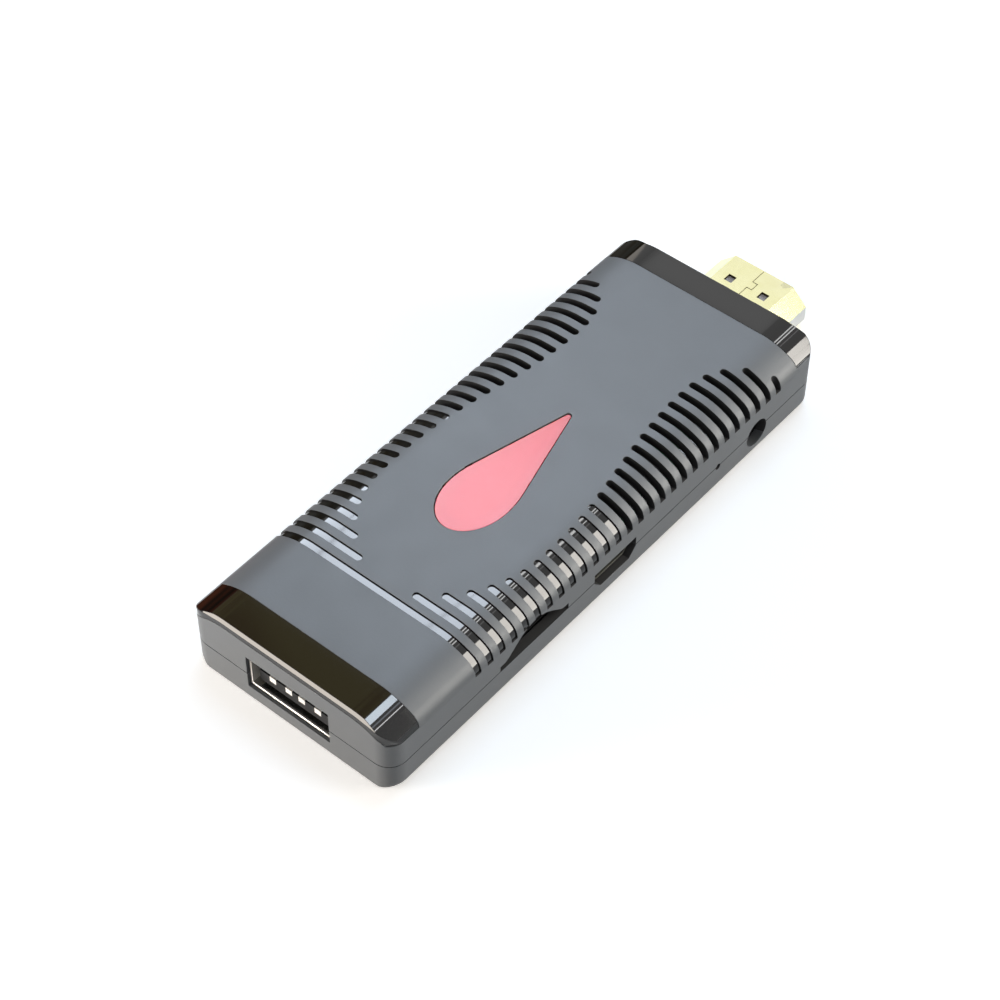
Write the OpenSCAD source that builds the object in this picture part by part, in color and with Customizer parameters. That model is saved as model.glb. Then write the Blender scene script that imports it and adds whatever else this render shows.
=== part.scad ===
// Streaming media stick with a plug at its far end, ports on its near end and
// right side, and a board that carries the works.
// The origin is the centre of the housing's underside, +Y points out of the
// plug, +X out of the side ports and +Z up. All lengths are in millimetres.

/* [Housing] */
// Length of the housing without the plug
body_l = 81.2; // [78:0.2:86]
// Width of the housing
body_w = 31.2; // [30.8:0.2:34]
// Height of the housing
body_h = 11.2; // [11:0.1:13]
// Thickness of the roof, sides and ends
wall = 1.3; // [1.1:0.05:1.4]
// Thickness of the floor
floor_t = 1.1; // [0.9:0.05:1.2]
// Corner radius seen from above
corner_r = 2.5; // [2.3:0.1:4]
// Radius along the bottom edge
foot_r = 1.5; // [0.8:0.1:1.8]
// Smaller radius along the bottom edge at both ends
end_foot_r = 0.4; // [0.3:0.1:0.8]
// Height of the line where the two covers meet
parting_z = 4.4; // [4.2:0.05:4.6]
// Width of each rounded shoulder
shoulder_w = 5.9; // [5:0.1:6.4]
// Drop of each rounded shoulder
shoulder_drop = 3.3; // [3:0.1:3.5]
// Tighter radius at the foot of the shoulder
shoulder_low_r = 2.3; // [2.25:0.05:2.5]
// Height of the fine reveal along the parting line
reveal_h = 0.12; // [0.05:0.01:0.2]
// Depth of the fine reveal
reveal_d = 0.3; // [0.1:0.05:0.4]
// Height of the lower cover's locating rim
rim_h = 0.8; // [0.5:0.1:1]
// Thickness of the locating rim
rim_t = 0.55; // [0.4:0.05:0.6]
// Play between pieces that seat in each other
fit_gap = 0.1; // [0.05:0.01:0.12]

/* [Vents] */
// Distance from one slot to the next
slot_pitch = 2.14; // [1.9:0.01:2.2]
// Width of a slot
slot_w = 1; // [0.6:0.05:1.2]
// Number of slots on each shoulder
slot_count = 28; // [20:1:29]
// Number of those slots that go right through the wall
vent_count = 15; // [8:1:20]
// Distance from the near end to the first slot
slot_start = 15; // [13:0.1:16]
// Height of the slots' lower ends below the roof
slot_drop = 3.4; // [2.8:0.05:3.5]
// Depth of the polished grooves that stay closed
groove_d = 0.25; // [0.15:0.05:0.5]
// Half width of the plain field where it is narrowest
field_narrow = 7.95; // [6:0.05:9]
// Half width of the plain field at its bulge
field_wide = 11.5; // [10:0.05:12]
// Half width of the field beside the last slot
field_far = 14.4; // [13:0.05:14.6]
// Half width of the field beside the second slot
field_near = 4; // [3:0.05:6]

/* [Trims and drop] */
// Length of the glossy near trim
near_trim_l = 4.9; // [4:0.1:6]
// Length of the glossy far trim
far_trim_l = 4.4; // [4:0.1:5]
// Drop of the near trim below the roof
near_trim_drop = 2.75; // [2.4:0.05:2.9]
// Drop of the far trim below the roof
far_trim_drop = 2.25; // [1.8:0.05:2.4]
// Thickness of the trims
trim_t = 0.95; // [0.7:0.05:1]
// Shadow gap under the edge of a trim
trim_gap = 0.18; // [0.05:0.01:0.2]
// Plastic left under a trim
under_trim_t = 0.8; // [0.6:0.05:0.9]
// Width of the drop
drop_w = 8.6; // [6:0.1:10]
// Length of the drop's round end
drop_round_l = 6.2; // [5:0.1:7]
// Length of the quarter curve between the round end and the flank
drop_neck_l = 8; // [7:0.1:9]
// Flank angle of the drop
drop_flank = 14.65; // [13.5:0.05:17]
// Radius of the drop's tip
drop_tip_r = 0.35; // [0.2:0.05:0.6]
// Distance from the near end to the drop's widest point
drop_from_end = 33.4; // [32:0.1:35]
// Thickness of the drop inlay
drop_t = 0.6; // [0.4:0.05:0.7]
// How far the drop lies below the roof
drop_sink = 0.15; // [0.05:0.05:0.2]
// Fine gap round the drop inlay
drop_gap = 0.1; // [0.05:0.01:0.15]

/* [Board] */
// Thickness of the main board
board_t = 1; // [0.8:0.1:1.2]
// Height of the board's underside
board_z = 2.65; // [2.6:0.01:2.7]
// Free edge between the board and the side walls
board_edge = 1.5; // [1.4:0.05:1.7]
// Free space between the board and the near wall
board_near_gap = 0.3; // [0.2:0.05:0.6]
// Distance from the far end to the board
board_far_gap = 4.6; // [4.4:0.1:4.8]
// Diameter of the board screws
screw_d = 1.6; // [1.4:0.1:1.8]
// Length of a screw below its head
screw_l = 2.4; // [2.2:0.05:2.5]
// Diameter of the screw heads
screw_head_d = 2.8; // [2.4:0.1:3]
// Height of the screw heads
screw_head_h = 0.7; // [0.5:0.1:0.9]
// Diameter of the screw bosses
boss_d = 3.2; // [2.8:0.1:3.6]

/* [Picture plug] */
// Width of the plug
plug_w = 13.9; // [13.5:0.05:14.3]
// Height of the plug
plug_h = 4.45; // [4.3:0.05:4.6]
// Half width of the plug's narrow face
plug_top_half = 4.7; // [4.4:0.05:5]
// Height of the plug's slanted corners
plug_chamfer = 2.15; // [1.9:0.05:2.3]
// Length of the plug outside the housing
plug_out = 10.4; // [9.5:0.1:11.5]
// Height of the plug's narrow face
plug_top_z = 5.38; // [5.3:0.01:5.42]
// Thickness of the plug's sheet metal
plug_sheet = 0.35; // [0.25:0.05:0.4]
// Length of the collar behind the far wall
collar_l = 1.6; // [1.2:0.1:2]
// How far the collar stands out round the plug
collar_t = 0.6; // [0.4:0.05:0.7]
// Width of a latch window
latch_w = 1.2; // [1:0.05:1.5]
// Length of a latch window
latch_l = 1.3; // [1:0.05:1.6]
// Distance between the two latch windows
latch_pitch = 5.3; // [4.8:0.1:6]
// Distance from the plug's mouth to the latch windows
latch_y = 4; // [3.5:0.1:5]
// Number of contacts in the plug's upper row
plug_pins = 10; // [8:1:10]
// Width of a plug contact
plug_pin_w = 0.45; // [0.3:0.05:0.5]
// Gap between neighbouring contacts
plug_pin_gap = 0.55; // [0.4:0.05:0.6]
// Thickness of the plug and port contacts
pin_t = 0.15; // [0.1:0.01:0.2]

/* [Near port] */
// Width inside the near port's shell
usb_w = 12.5; // [12:0.1:12.8]
// Height inside the near port's shell
usb_h = 5.1; // [5:0.05:5.2]
// Length of the near port's shell
usb_l = 13.2; // [12:0.1:14]
// Sheet thickness of the near port's shell
usb_sheet = 0.3; // [0.2:0.02:0.34]
// Sideways place of the near port
usb_x = -0.2; // [-0.5:0.05:0.5]
// Depth of the shell's mouth behind the end face
usb_back = 0.55; // [0.45:0.05:1]
// Thickness of the tongue in the near port
tongue_t = 1.7; // [1.4:0.1:1.84]
// Width of the tongue in the near port
tongue_w = 11.1; // [10.5:0.1:11.4]
// Gap between the tongue and the shell below it
tongue_gap = 0.7; // [0.5:0.05:0.8]
// Length of the block at the back of the near port
usb_block_l = 4; // [3:0.1:5]
// Width of a contact in the near port
usb_pin_w = 1; // [0.8:0.05:1.2]
// Distance from the port's centre to its inner contacts
usb_pin_inner = 1; // [0.8:0.05:1.2]
// Distance from the port's centre to its outer contacts
usb_pin_outer = 3.5; // [3.2:0.05:3.8]

/* [Side ports] */
// Distance from the near end to the small power port
power_from_end = 40.2; // [39.8:0.1:41.2]
// Outer width of the power port's shell
power_w = 7.5; // [7.2:0.05:7.8]
// Outer height of the power port's shell
power_h = 2.45; // [2.3:0.05:2.55]
// Length of the power port's shell
power_l = 5; // [4.6:0.1:5.6]
// Width of the slanted corners of the power port
power_chamfer = 1.15; // [0.9:0.05:1.3]
// Depth that the power port is set into the board
power_sink = 0.55; // [0.4:0.05:0.6]
// Sheet thickness of the power port's shell
power_sheet = 0.25; // [0.2:0.01:0.3]
// Clear gap round the power port in the housing
power_gap = 0.2; // [0.15:0.01:0.25]
// Distance from the near end to the card slot
card_from_end = 25.1; // [24.6:0.1:25.6]
// Width of the memory card
card_w = 11; // [10.9:0.05:11.2]
// Thickness of the card channel
card_h = 0.85; // [0.75:0.05:0.9]
// Width of the card slot in the housing
card_slot_w = 12.4; // [12:0.1:13]
// Height of the finger scoop over the card slot
scoop_h = 2.75; // [2.4:0.05:2.8]
// Half width of the finger scoop
scoop_half_w = 5.3; // [5:0.1:5.8]
// Length of the card socket
socket_l = 14.4; // [14:0.1:14.6]
// Width of the card socket's side rails
rail_w = 1.5; // [1.4:0.05:1.6]
// Sheet thickness of the socket's cover
socket_sheet = 0.2; // [0.15:0.01:0.22]
// Travel of the card slider
slider_travel = 1.2; // [0.8:0.1:1.4]
// Length of the slider's spring when it is pressed in
pressed_spring_l = 4.5; // [4.2:0.1:5]
// Distance from the far end to the reset hole
reset_from_end = 20.6; // [20.2:0.1:20.8]
// Diameter of the reset hole
reset_hole_d = 0.9; // [0.8:0.05:1.1]
// Travel of the reset button
reset_travel = 0.25; // [0.2:0.01:0.3]
// Distance from the far end to the round jack
jack_from_end = 12.5; // [12.3:0.1:12.6]
// Height of the jack's axis
jack_z = 3.85; // [3.8:0.01:3.9]
// Diameter of the jack's bore
jack_bore_d = 3.6; // [3.5:0.02:3.7]
// Diameter of the jack's hole in the housing
jack_hole_d = 4; // [3.9:0.05:4.3]
// Width of the jack's body
jack_w = 6; // [5.6:0.1:6.2]
// Height of the jack's body
jack_h = 5; // [4.8:0.05:5.1]
// Length of the jack's body
jack_l = 12; // [11:0.1:12.5]

/* [Hidden] */
$fn = 64;

// Overrun of the cutting solids
over = wall / 2;
half_w = body_w / 2;
half_l = body_l / 2;
flat_half = half_w - shoulder_w;
shoulder_z = body_h - shoulder_drop;
// Larger shoulder radius, tangent to the roof and to the tighter one
shoulder_r = (shoulder_w * shoulder_w + shoulder_drop * shoulder_drop
    - 2 * shoulder_w * shoulder_low_r) / (2 * (shoulder_drop - shoulder_low_r));
// Share of a shoulder's arcs at which they meet
meet_share = (shoulder_w - shoulder_low_r) / (shoulder_r - shoulder_low_r);
cavity_half_w = half_w - wall;
cavity_half_l = half_l - wall;
under_trim = trim_t + under_trim_t;
drop_y = -half_l + drop_from_end;
power_y = -half_l + power_from_end;
card_y = -half_l + card_from_end;
reset_y = half_l - reset_from_end;
jack_y = half_l - jack_from_end;

board_top = board_z + board_t;
board_half_w = cavity_half_w - board_edge;
board_near_y = -cavity_half_l + board_near_gap;
board_far_y = half_l - board_far_gap;

function arc_points(cx, cy, rx, ry, from, to, steps) =
    [for (i = [0:steps]) let (a = from + (to - from) * i / steps) [cx + rx * cos(a), cy + ry * sin(a)]];

// Outline of a shell with two slanted corners on one long side: half width w,
// half width n of the narrow side, height h, slant height c, drawn in by t.
function slanted_outline(w, n, h, c, t) =
    let (turn = atan2(w - n, c), low = tan(turn / 2), high = tan((90 - turn) / 2))
    [[-w + t, t], [w - t, t], [w - t, h - c - t * low], [n - t * high, h - t],
     [-n + t * high, h - t], [-w + t, h - c - t * low]];

// A block from one corner to the opposite one.
module span(low, high) {
    translate(low) cube(high - low);
}

// Cross-section of the housing over its width, drawn in by t.
module profile(t) {
    meet_x = flat_half + (shoulder_r - t) * meet_share;
    for (side = [0, 1]) mirror([side, 0]) {
        square([flat_half, body_h - t]);
        intersection() {
            translate([flat_half, 0]) square([meet_x - flat_half, body_h]);
            translate([flat_half, body_h - shoulder_r]) circle(shoulder_r - t);
        }
        translate([meet_x, 0]) square([half_w - t - meet_x, shoulder_z]);
        intersection() {
            translate([meet_x, shoulder_z]) square([half_w - meet_x, shoulder_drop]);
            translate([half_w - shoulder_low_r, shoulder_z]) circle(shoulder_low_r - t);
        }
    }
}

// The profile run along the housing between two places.
module profile_run(t, from_y, to_y) {
    translate([0, to_y, 0]) rotate([90, 0, 0]) linear_extrude(to_y - from_y) profile(t);
}

// Rounded rectangle of the housing seen from above, drawn in by t.
module plan(t) {
    r = corner_r - t;
    square([body_w - 2 * corner_r, body_l - 2 * t], center = true);
    square([body_w - 2 * t, body_l - 2 * corner_r], center = true);
    for (x = [-1, 1], y = [-1, 1])
        translate([x * (half_w - corner_r), y * (half_l - corner_r)]) circle(r);
}

// A slice of the plan between two heights.
module plan_slice(t, low, high) {
    translate([0, 0, low]) linear_extrude(high - low) plan(t);
}

// Outer form of the lower cover, rounded along its bottom edge, more at the sides than at the ends.
foot_steps = 6;
corner_steps = 8;
foot_slice = fit_gap / 10;
function foot_draw_in(r, z) = z < r ? r - sqrt(r * r - (r - z) * (r - z)) : 0;
function foot_outline(z) =
    let (x = half_w - corner_r, y = half_l - corner_r,
         rx = corner_r - foot_draw_in(foot_r, z), ry = corner_r - foot_draw_in(end_foot_r, z))
    concat(arc_points(x, y, rx, ry, 0, 90, corner_steps), arc_points(-x, y, rx, ry, 90, 180, corner_steps),
           arc_points(-x, -y, rx, ry, 180, 270, corner_steps), arc_points(x, -y, rx, ry, 270, 360, corner_steps));
module base_form() hull() {
    for (r = [foot_r, end_foot_r], i = [0:foot_steps - 1]) {
        z = r * (1 - cos(90 * i / foot_steps));
        translate([0, 0, z]) linear_extrude(foot_slice) polygon(foot_outline(z));
    }
    translate([0, 0, foot_r]) linear_extrude(parting_z - foot_r) polygon(foot_outline(foot_r));
}

// Slots along the shoulders.
last_slot = slot_count - 1;
vent_first = slot_count - vent_count;
slot_low_z = body_h - slot_drop;
function slot_y(i) = -half_l + slot_start + i * slot_pitch;
// Places of the plain field's bulge and waist, as shares of the row of slots
bulge_share = 0.315;
waist_share = 0.815;
bulge_i = last_slot * bulge_share;
waist_i = last_slot * waist_share;
// How sharply the field's edge leaves the bulge and the waist
bulge_power = 3;
waist_power = 2.75;
function field_edge(i) =
    i < bulge_i ? field_wide - (field_wide - field_near) * pow((bulge_i - i) / (bulge_i - 1), bulge_power)
    : i > waist_i ? field_narrow + (field_far - field_narrow) * pow((i - waist_i) / (last_slot - waist_i), waist_power)
    : (field_wide + field_narrow) / 2
        + (field_wide - field_narrow) / 2 * cos(180 * (i - bulge_i) / (waist_i - bulge_i));
module slot_cut(i) {
    translate([0, slot_y(i), slot_low_z]) linear_extrude(slot_drop + over) {
        if (i == 0) {
            square([body_w + over, slot_w], center = true);
        } else for (side = [0, 1]) mirror([side, 0]) {
            inner = field_edge(i) + slot_w / 2;
            translate([inner, -slot_w / 2]) square([half_w + over - inner, slot_w]);
            translate([inner, 0]) circle(slot_w / 2);
        }
    }
}

// Teardrop outline, tip towards the plug.
drop_half = drop_w / 2;
drop_slope = tan(drop_flank);
neck_a = atan(drop_slope * drop_neck_l / drop_half);
neck_x = drop_half * cos(neck_a);
neck_y = drop_neck_l * sin(neck_a);
drop_tip_y = neck_y + (neck_x - drop_tip_r / cos(drop_flank)) / drop_slope;
curve_steps = 12;
drop_right = concat(
    arc_points(0, 0, drop_half, drop_round_l, -90, 0, curve_steps),
    [for (i = [1:curve_steps]) let (a = neck_a * i / curve_steps) [drop_half * cos(a), drop_neck_l * sin(a)]],
    arc_points(0, drop_tip_y, drop_tip_r, drop_tip_r, drop_flank, 90, curve_steps / 2));
drop_left = [for (i = [len(drop_right) - 2:-1:1]) [-drop_right[i][0], drop_right[i][1]]];
module drop_shape() {
    translate([0, drop_y]) polygon(concat(drop_right, drop_left));
}

// Glossy trims and their seats in the upper cover.
module trim_zone(from_y, to_y, drop) {
    span([-body_w, from_y, body_h - drop], [body_w, to_y, body_h + over]);
}
module near_zone(grow) {
    trim_zone(-body_l, -half_l + near_trim_l, near_trim_drop + grow);
}
module far_zone(grow) {
    trim_zone(half_l - far_trim_l, body_l, far_trim_drop + grow);
}
module trim_seat() {
    difference() {
        profile_run(-over, -body_l, body_l);
        profile_run(trim_t, -body_l, body_l);
    }
}
module trim_shadow() {
    difference() {
        plan_slice(-over, 0, body_h);
        plan_slice(reveal_d, 0, body_h);
        profile_run(trim_t + trim_gap, -body_l, body_l);
    }
}
module trim(shadow_side) {
    intersection() {
        difference() {
            profile_run(0, -half_l, half_l);
            profile_run(trim_t, -body_l, body_l);
        }
        plan_slice(0, 0, body_h);
        children();
    }
}

// The picture plug.
plug_half = plug_w / 2;
plug_low_z = plug_top_z - plug_h;
plug_tip_y = half_l + plug_out;
collar_y = cavity_half_l - collar_l;
plug_end_y = collar_y - collar_l;
module plug_run(t, from_y, to_y) {
    translate([0, to_y, plug_low_z]) rotate([90, 0, 0]) linear_extrude(to_y - from_y)
        polygon(slanted_outline(plug_half, plug_top_half, plug_h, plug_chamfer, t));
}

// The near port.
usb_out_w = usb_w + 2 * usb_sheet;
usb_out_h = usb_h + 2 * usb_sheet;
usb_mouth_y = -half_l + usb_back;
usb_end_y = usb_mouth_y + usb_l;
// Share of the free height that is left below the port
usb_rise_share = 0.32;
usb_rise = (body_h - under_trim - floor_t - usb_out_h) * usb_rise_share;
usb_z = floor_t + usb_rise + usb_out_h / 2;
usb_low_z = usb_z - usb_h / 2;
usb_window_gap = 0.1;
module usb_box(w, h, from_y, to_y) {
    span([usb_x - w / 2, from_y, usb_z - h / 2], [usb_x + w / 2, to_y, usb_z + h / 2]);
}

// The power port, narrow side down.
power_mouth_x = half_w - power_sheet - wall / 2;
power_end_x = power_mouth_x - power_l;
power_low_z = board_top - power_sink;
module power_run(t, from_x, to_x) {
    translate([from_x, power_y, power_low_z + power_h]) rotate([90, 0, 90])
        linear_extrude(to_x - from_x) mirror([0, 1])
        polygon(slanted_outline(power_w / 2, power_w / 2 - power_chamfer, power_h, power_chamfer, t));
}

// The memory card socket.
socket_w = card_w + 2 * fit_gap + 2 * rail_w;
socket_floor = parting_z + fit_gap / 2;
socket_top = socket_floor + card_h + fit_gap;
socket_front_x = cavity_half_w - 3 * fit_gap;
socket_back_x = socket_front_x - socket_l;
socket_near_y = card_y - socket_w / 2;
socket_far_y = card_y + socket_w / 2;
scoop_power = 1.4;
scoop_base_z = socket_floor + card_h;
scoop_curve = [for (i = [-curve_steps:curve_steps])
    let (s = i / curve_steps) [s * scoop_half_w, scoop_h * pow(1 - s * s, scoop_power)]];

// The reset switch.
reset_z = parting_z - fit_gap / 2;

// Openings that both covers share.
module ports() {
    plug_run(-fit_gap, plug_end_y - fit_gap, half_l + over);
    usb_box(usb_w + 2 * usb_window_gap, usb_h + 2 * usb_window_gap, -half_l - over, -cavity_half_l + over);
    usb_box(usb_out_w + 2 * fit_gap, usb_out_h + 2 * fit_gap, usb_mouth_y - fit_gap, -cavity_half_l + over);
    power_run(-power_gap, power_mouth_x - over, half_w + over);
    span([cavity_half_w - over, card_y - card_slot_w / 2, parting_z],
         [half_w + over, card_y + card_slot_w / 2, scoop_base_z]);
    translate([cavity_half_w - over, card_y, scoop_base_z]) rotate([90, 0, 90])
        linear_extrude(wall + 2 * over) polygon(scoop_curve);
    translate([cavity_half_w - over, reset_y, reset_z]) rotate([0, 90, 0])
        cylinder(h = wall + 2 * over, d = reset_hole_d);
    translate([cavity_half_w - over, jack_y, jack_z]) rotate([0, 90, 0])
        cylinder(h = wall + 2 * over, d = jack_hole_d);
}

// Snap hooks that hold the covers together, as shares of half the length
hook_share = [-0.74, 0.22];
hook_w = 4 * rim_h;
hook_t = rim_h;
hook_barb = rim_h / 2;
hook_low = parting_z + 2 * rim_h;
hook_x = cavity_half_w - fit_gap;
module hook() {
    span([hook_x - hook_t, -hook_w / 2, floor_t / 2], [hook_x, hook_w / 2, hook_low + rim_h]);
    translate([0, hook_w / 2, 0]) rotate([90, 0, 0]) linear_extrude(hook_w)
        polygon([[hook_x - hook_t / 2, hook_low], [hook_x + hook_barb, hook_low],
                 [hook_x, hook_low + rim_h], [hook_x - hook_t / 2, hook_low + rim_h]]);
}
module hook_pocket() {
    span([cavity_half_w - over, -hook_w / 2 - fit_gap, hook_low - fit_gap],
         [cavity_half_w + hook_barb, hook_w / 2 + fit_gap, hook_low + rim_h + fit_gap]);
}
module at_hooks() {
    for (side = [0, 1], share = hook_share) mirror([side, 0, 0]) translate([0, share * half_l, 0]) children();
}

// Housing covers and their trims.
module top_cover() color("#3d4145") difference() {
    intersection() {
        profile_run(0, -half_l, half_l);
        plan_slice(0, parting_z, body_h);
    }
    intersection() {
        union() {
            profile_run(wall, -half_l + near_trim_l + under_trim_t, half_l - far_trim_l - under_trim_t);
            profile_run(under_trim, -half_l, half_l);
        }
        plan_slice(wall, 0, body_h);
    }
    plan_slice(wall - rim_t - fit_gap, 0, parting_z + rim_h + fit_gap);
    difference() {
        plan_slice(-over, 0, parting_z + reveal_h);
        plan_slice(reveal_d, 0, body_h);
    }
    for (i = [vent_first:last_slot]) slot_cut(i);
    difference() {
        for (i = [0:vent_first - 1]) slot_cut(i);
        profile_run(groove_d, -half_l, half_l);
    }
    intersection() {
        trim_seat();
        union() {
            near_zone(0);
            far_zone(0);
        }
    }
    intersection() {
        trim_shadow();
        union() {
            near_zone(trim_gap);
            far_zone(trim_gap);
        }
    }
    translate([0, 0, body_h - drop_sink - drop_t]) linear_extrude(body_h) offset(r = drop_gap) drop_shape();
    at_hooks() hook_pocket();
    ports();
}

module bottom_cover() color("#3a3d40") {
    difference() {
        union() {
            base_form();
            plan_slice(wall - rim_t, floor_t, parting_z + rim_h);
        }
        plan_slice(wall, floor_t, body_h);
        ports();
    }
    at_hooks() hook();
    for (place = post_places) translate([place[0], place[1], floor_t / 2])
        cylinder(h = board_z - floor_t / 2, d = boss_d / 2);
    for (place = screw_places) translate([place[0], place[1], floor_t / 2]) difference() {
        cylinder(h = board_z - floor_t / 2, d = boss_d);
        translate([0, 0, board_top - screw_l - fit_gap - floor_t / 2])
            cylinder(h = body_h, d = screw_d + fit_gap);
    }
}

module near_trim() color("#17181a") trim() near_zone(-trim_gap / 2);
module far_trim() color("#1b1c1e") trim() far_zone(-trim_gap / 2);

module drop_inlay() color("#f08a90")
    translate([0, 0, body_h - drop_sink - drop_t]) linear_extrude(drop_t) drop_shape();

// Picture plug: shell with its collar, insulator and two rows of contacts.
seam_w = plug_sheet / 3;
seam_tab = latch_w * 0.7;
latch_end_y = plug_tip_y - latch_y;
module plug_shell() color("#e3d9a0") difference() {
    union() {
        plug_run(0, plug_end_y, plug_tip_y);
        span([-plug_half - collar_t, collar_y, floor_t + fit_gap],
             [plug_half + collar_t, cavity_half_l - fit_gap / 2, plug_top_z - plug_chamfer]);
    }
    plug_run(plug_sheet, plug_end_y - over, plug_tip_y + over);
    for (x = [-1, 1], z = [plug_top_z, plug_low_z])
        translate([x * latch_pitch / 2, latch_end_y, z])
            cube([latch_w, latch_l, 2 * plug_sheet + fit_gap], center = true);
    // Seam where the rolled sheet locks into itself
    translate([0, 0, plug_top_z]) {
        span([-seam_w / 2, half_l, -seam_w], [seam_w / 2, latch_end_y, over]);
        span([-seam_w / 2, latch_end_y, -seam_w], [seam_tab, latch_end_y + seam_w, over]);
        span([seam_tab - seam_w, latch_end_y, -seam_w], [seam_tab, latch_end_y + latch_l, over]);
        span([-seam_w / 2, latch_end_y + latch_l, -seam_w], [seam_tab, latch_end_y + latch_l + seam_w, over]);
        span([-seam_w / 2, latch_end_y + latch_l, -seam_w], [seam_w / 2, plug_tip_y + over, over]);
    }
}

plug_block_end = collar_y - fit_gap;
plug_pitch = plug_pin_w + plug_pin_gap;
plug_slot_w = plug_pins * plug_pitch + plug_pin_w;
plug_mouth_y = plug_tip_y - 2 * plug_sheet;
plug_slot_end = half_l + plug_sheet;
module plug_contact_rows(y_low, y_high) {
    for (row = [0, 1]) {
        count = plug_pins - row;
        z = row == 0 ? board_top : board_z - pin_t;
        for (i = [0:count - 1]) {
            x = (i - (count - 1) / 2) * plug_pitch;
            span([x - plug_pin_w / 2, y_low, z], [x + plug_pin_w / 2, y_high, z + pin_t]);
        }
    }
}
module plug_insulator() color("#1c1c1e") difference() {
    plug_run(plug_sheet, plug_block_end, plug_mouth_y);
    span([-plug_slot_w / 2, plug_slot_end, board_z - pin_t], [plug_slot_w / 2, plug_tip_y, board_top + pin_t]);
    plug_contact_rows(collar_y - wall, plug_tip_y);
}
module plug_contacts() color("#d8b45a")
    plug_contact_rows(board_far_y - wall, plug_mouth_y - plug_sheet);

// Near port: shell, block with its tongue and four contacts.
tongue_low = usb_low_z + tongue_gap;
tongue_top = tongue_low + tongue_t;
tongue_mid = tongue_low + tongue_t / 2;
tongue_tip_y = usb_mouth_y + tongue_gap;
usb_tail_y = usb_end_y + 2 * usb_sheet;
spring_w = usb_pin_w * 2;
spring_l = usb_l / 3;
module usb_shell() color("#c9cbc8") difference() {
    usb_box(usb_out_w, usb_out_h, usb_mouth_y, usb_end_y);
    usb_box(usb_w, usb_h, usb_mouth_y - over, usb_end_y + over);
    for (side = [-1, 1], z = [-1, 1])
        translate([usb_x + side * usb_w / 4, usb_mouth_y + spring_l, usb_z + z * (usb_h + usb_sheet) / 2])
            difference() {
                cube([spring_w, spring_l, usb_sheet + fit_gap], center = true);
                translate([0, spring_w / 4, 0])
                    cube([spring_w / 2, spring_l - spring_w / 4, usb_sheet + over], center = true);
            }
}
module at_usb_pins() {
    for (side = [-1, 1], x = [usb_pin_inner, usb_pin_outer]) translate([usb_x + side * x, 0, 0]) children();
}
module usb_pin_path() {
    tail = board_half_w / 8;
    translate([-usb_pin_w / 2, 0, 0]) rotate([90, 0, 90]) linear_extrude(usb_pin_w)
        polygon([[tongue_tip_y, tongue_mid], [tongue_tip_y, tongue_top],
                 [usb_tail_y + pin_t, tongue_top], [usb_tail_y + pin_t, board_top + pin_t],
                 [usb_tail_y + tail, board_top + pin_t], [usb_tail_y + tail, board_top],
                 [usb_tail_y, board_top], [usb_tail_y, tongue_top - pin_t],
                 [tongue_tip_y + pin_t, tongue_top - pin_t], [tongue_tip_y + pin_t, tongue_mid]]);
}
module usb_tongue() color("#1a1a1c") difference() {
    union() {
        usb_box(usb_w, usb_h, usb_end_y - usb_block_l, usb_end_y);
        span([usb_x - tongue_w / 2, tongue_tip_y, tongue_low],
             [usb_x + tongue_w / 2, usb_end_y - usb_block_l, tongue_top]);
    }
    at_usb_pins() usb_pin_path();
}
module usb_contacts() color("#e8e4d8") at_usb_pins() usb_pin_path();

// Power port: shell, block with its tongue and five contacts.
power_tongue_t = power_h / 4;
power_tongue_w = power_w / 2;
power_tongue_z = power_low_z + power_h * 0.55;
power_block_x = power_end_x + power_l / 5;
power_pin_count = 5;
power_pin_pitch = power_tongue_w / (power_pin_count + 1);
// Feet that carry the power port on the board, as shares of the port's length
power_foot = [0.2, 0.5];
power_foot_out = 3 * power_sheet;
module power_port_shell() color("#b9bcba") difference() {
    union() {
        power_run(0, power_end_x, power_mouth_x);
        span([power_end_x + power_foot[0] * power_l, power_y - power_w / 2 - power_foot_out, board_top],
             [power_end_x + power_foot[1] * power_l, power_y + power_w / 2 + power_foot_out, board_top + power_sheet]);
    }
    power_run(power_sheet, power_end_x - over, power_mouth_x + over);
}
module power_pins() {
    for (i = [0:power_pin_count - 1]) {
        y = power_y + (i - (power_pin_count - 1) / 2) * power_pin_pitch;
        span([power_end_x - power_pin_pitch, y - power_pin_pitch / 4, power_tongue_z - pin_t],
             [power_mouth_x - power_l / 4, y + power_pin_pitch / 4, power_tongue_z]);
        span([power_end_x - power_pin_pitch, y - power_pin_pitch / 4, board_top],
             [power_end_x - power_pin_pitch + pin_t, y + power_pin_pitch / 4, power_tongue_z]);
    }
}
module power_port_tongue() color("#202022") difference() {
    union() {
        power_run(power_sheet, power_end_x, power_block_x);
        span([power_block_x, power_y - power_tongue_w / 2, power_tongue_z - pin_t],
             [power_mouth_x - power_l / 5, power_y + power_tongue_w / 2, power_tongue_z + power_tongue_t - pin_t]);
    }
    power_pins();
}
module power_port_contacts() color("#d8b45a") power_pins();

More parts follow.
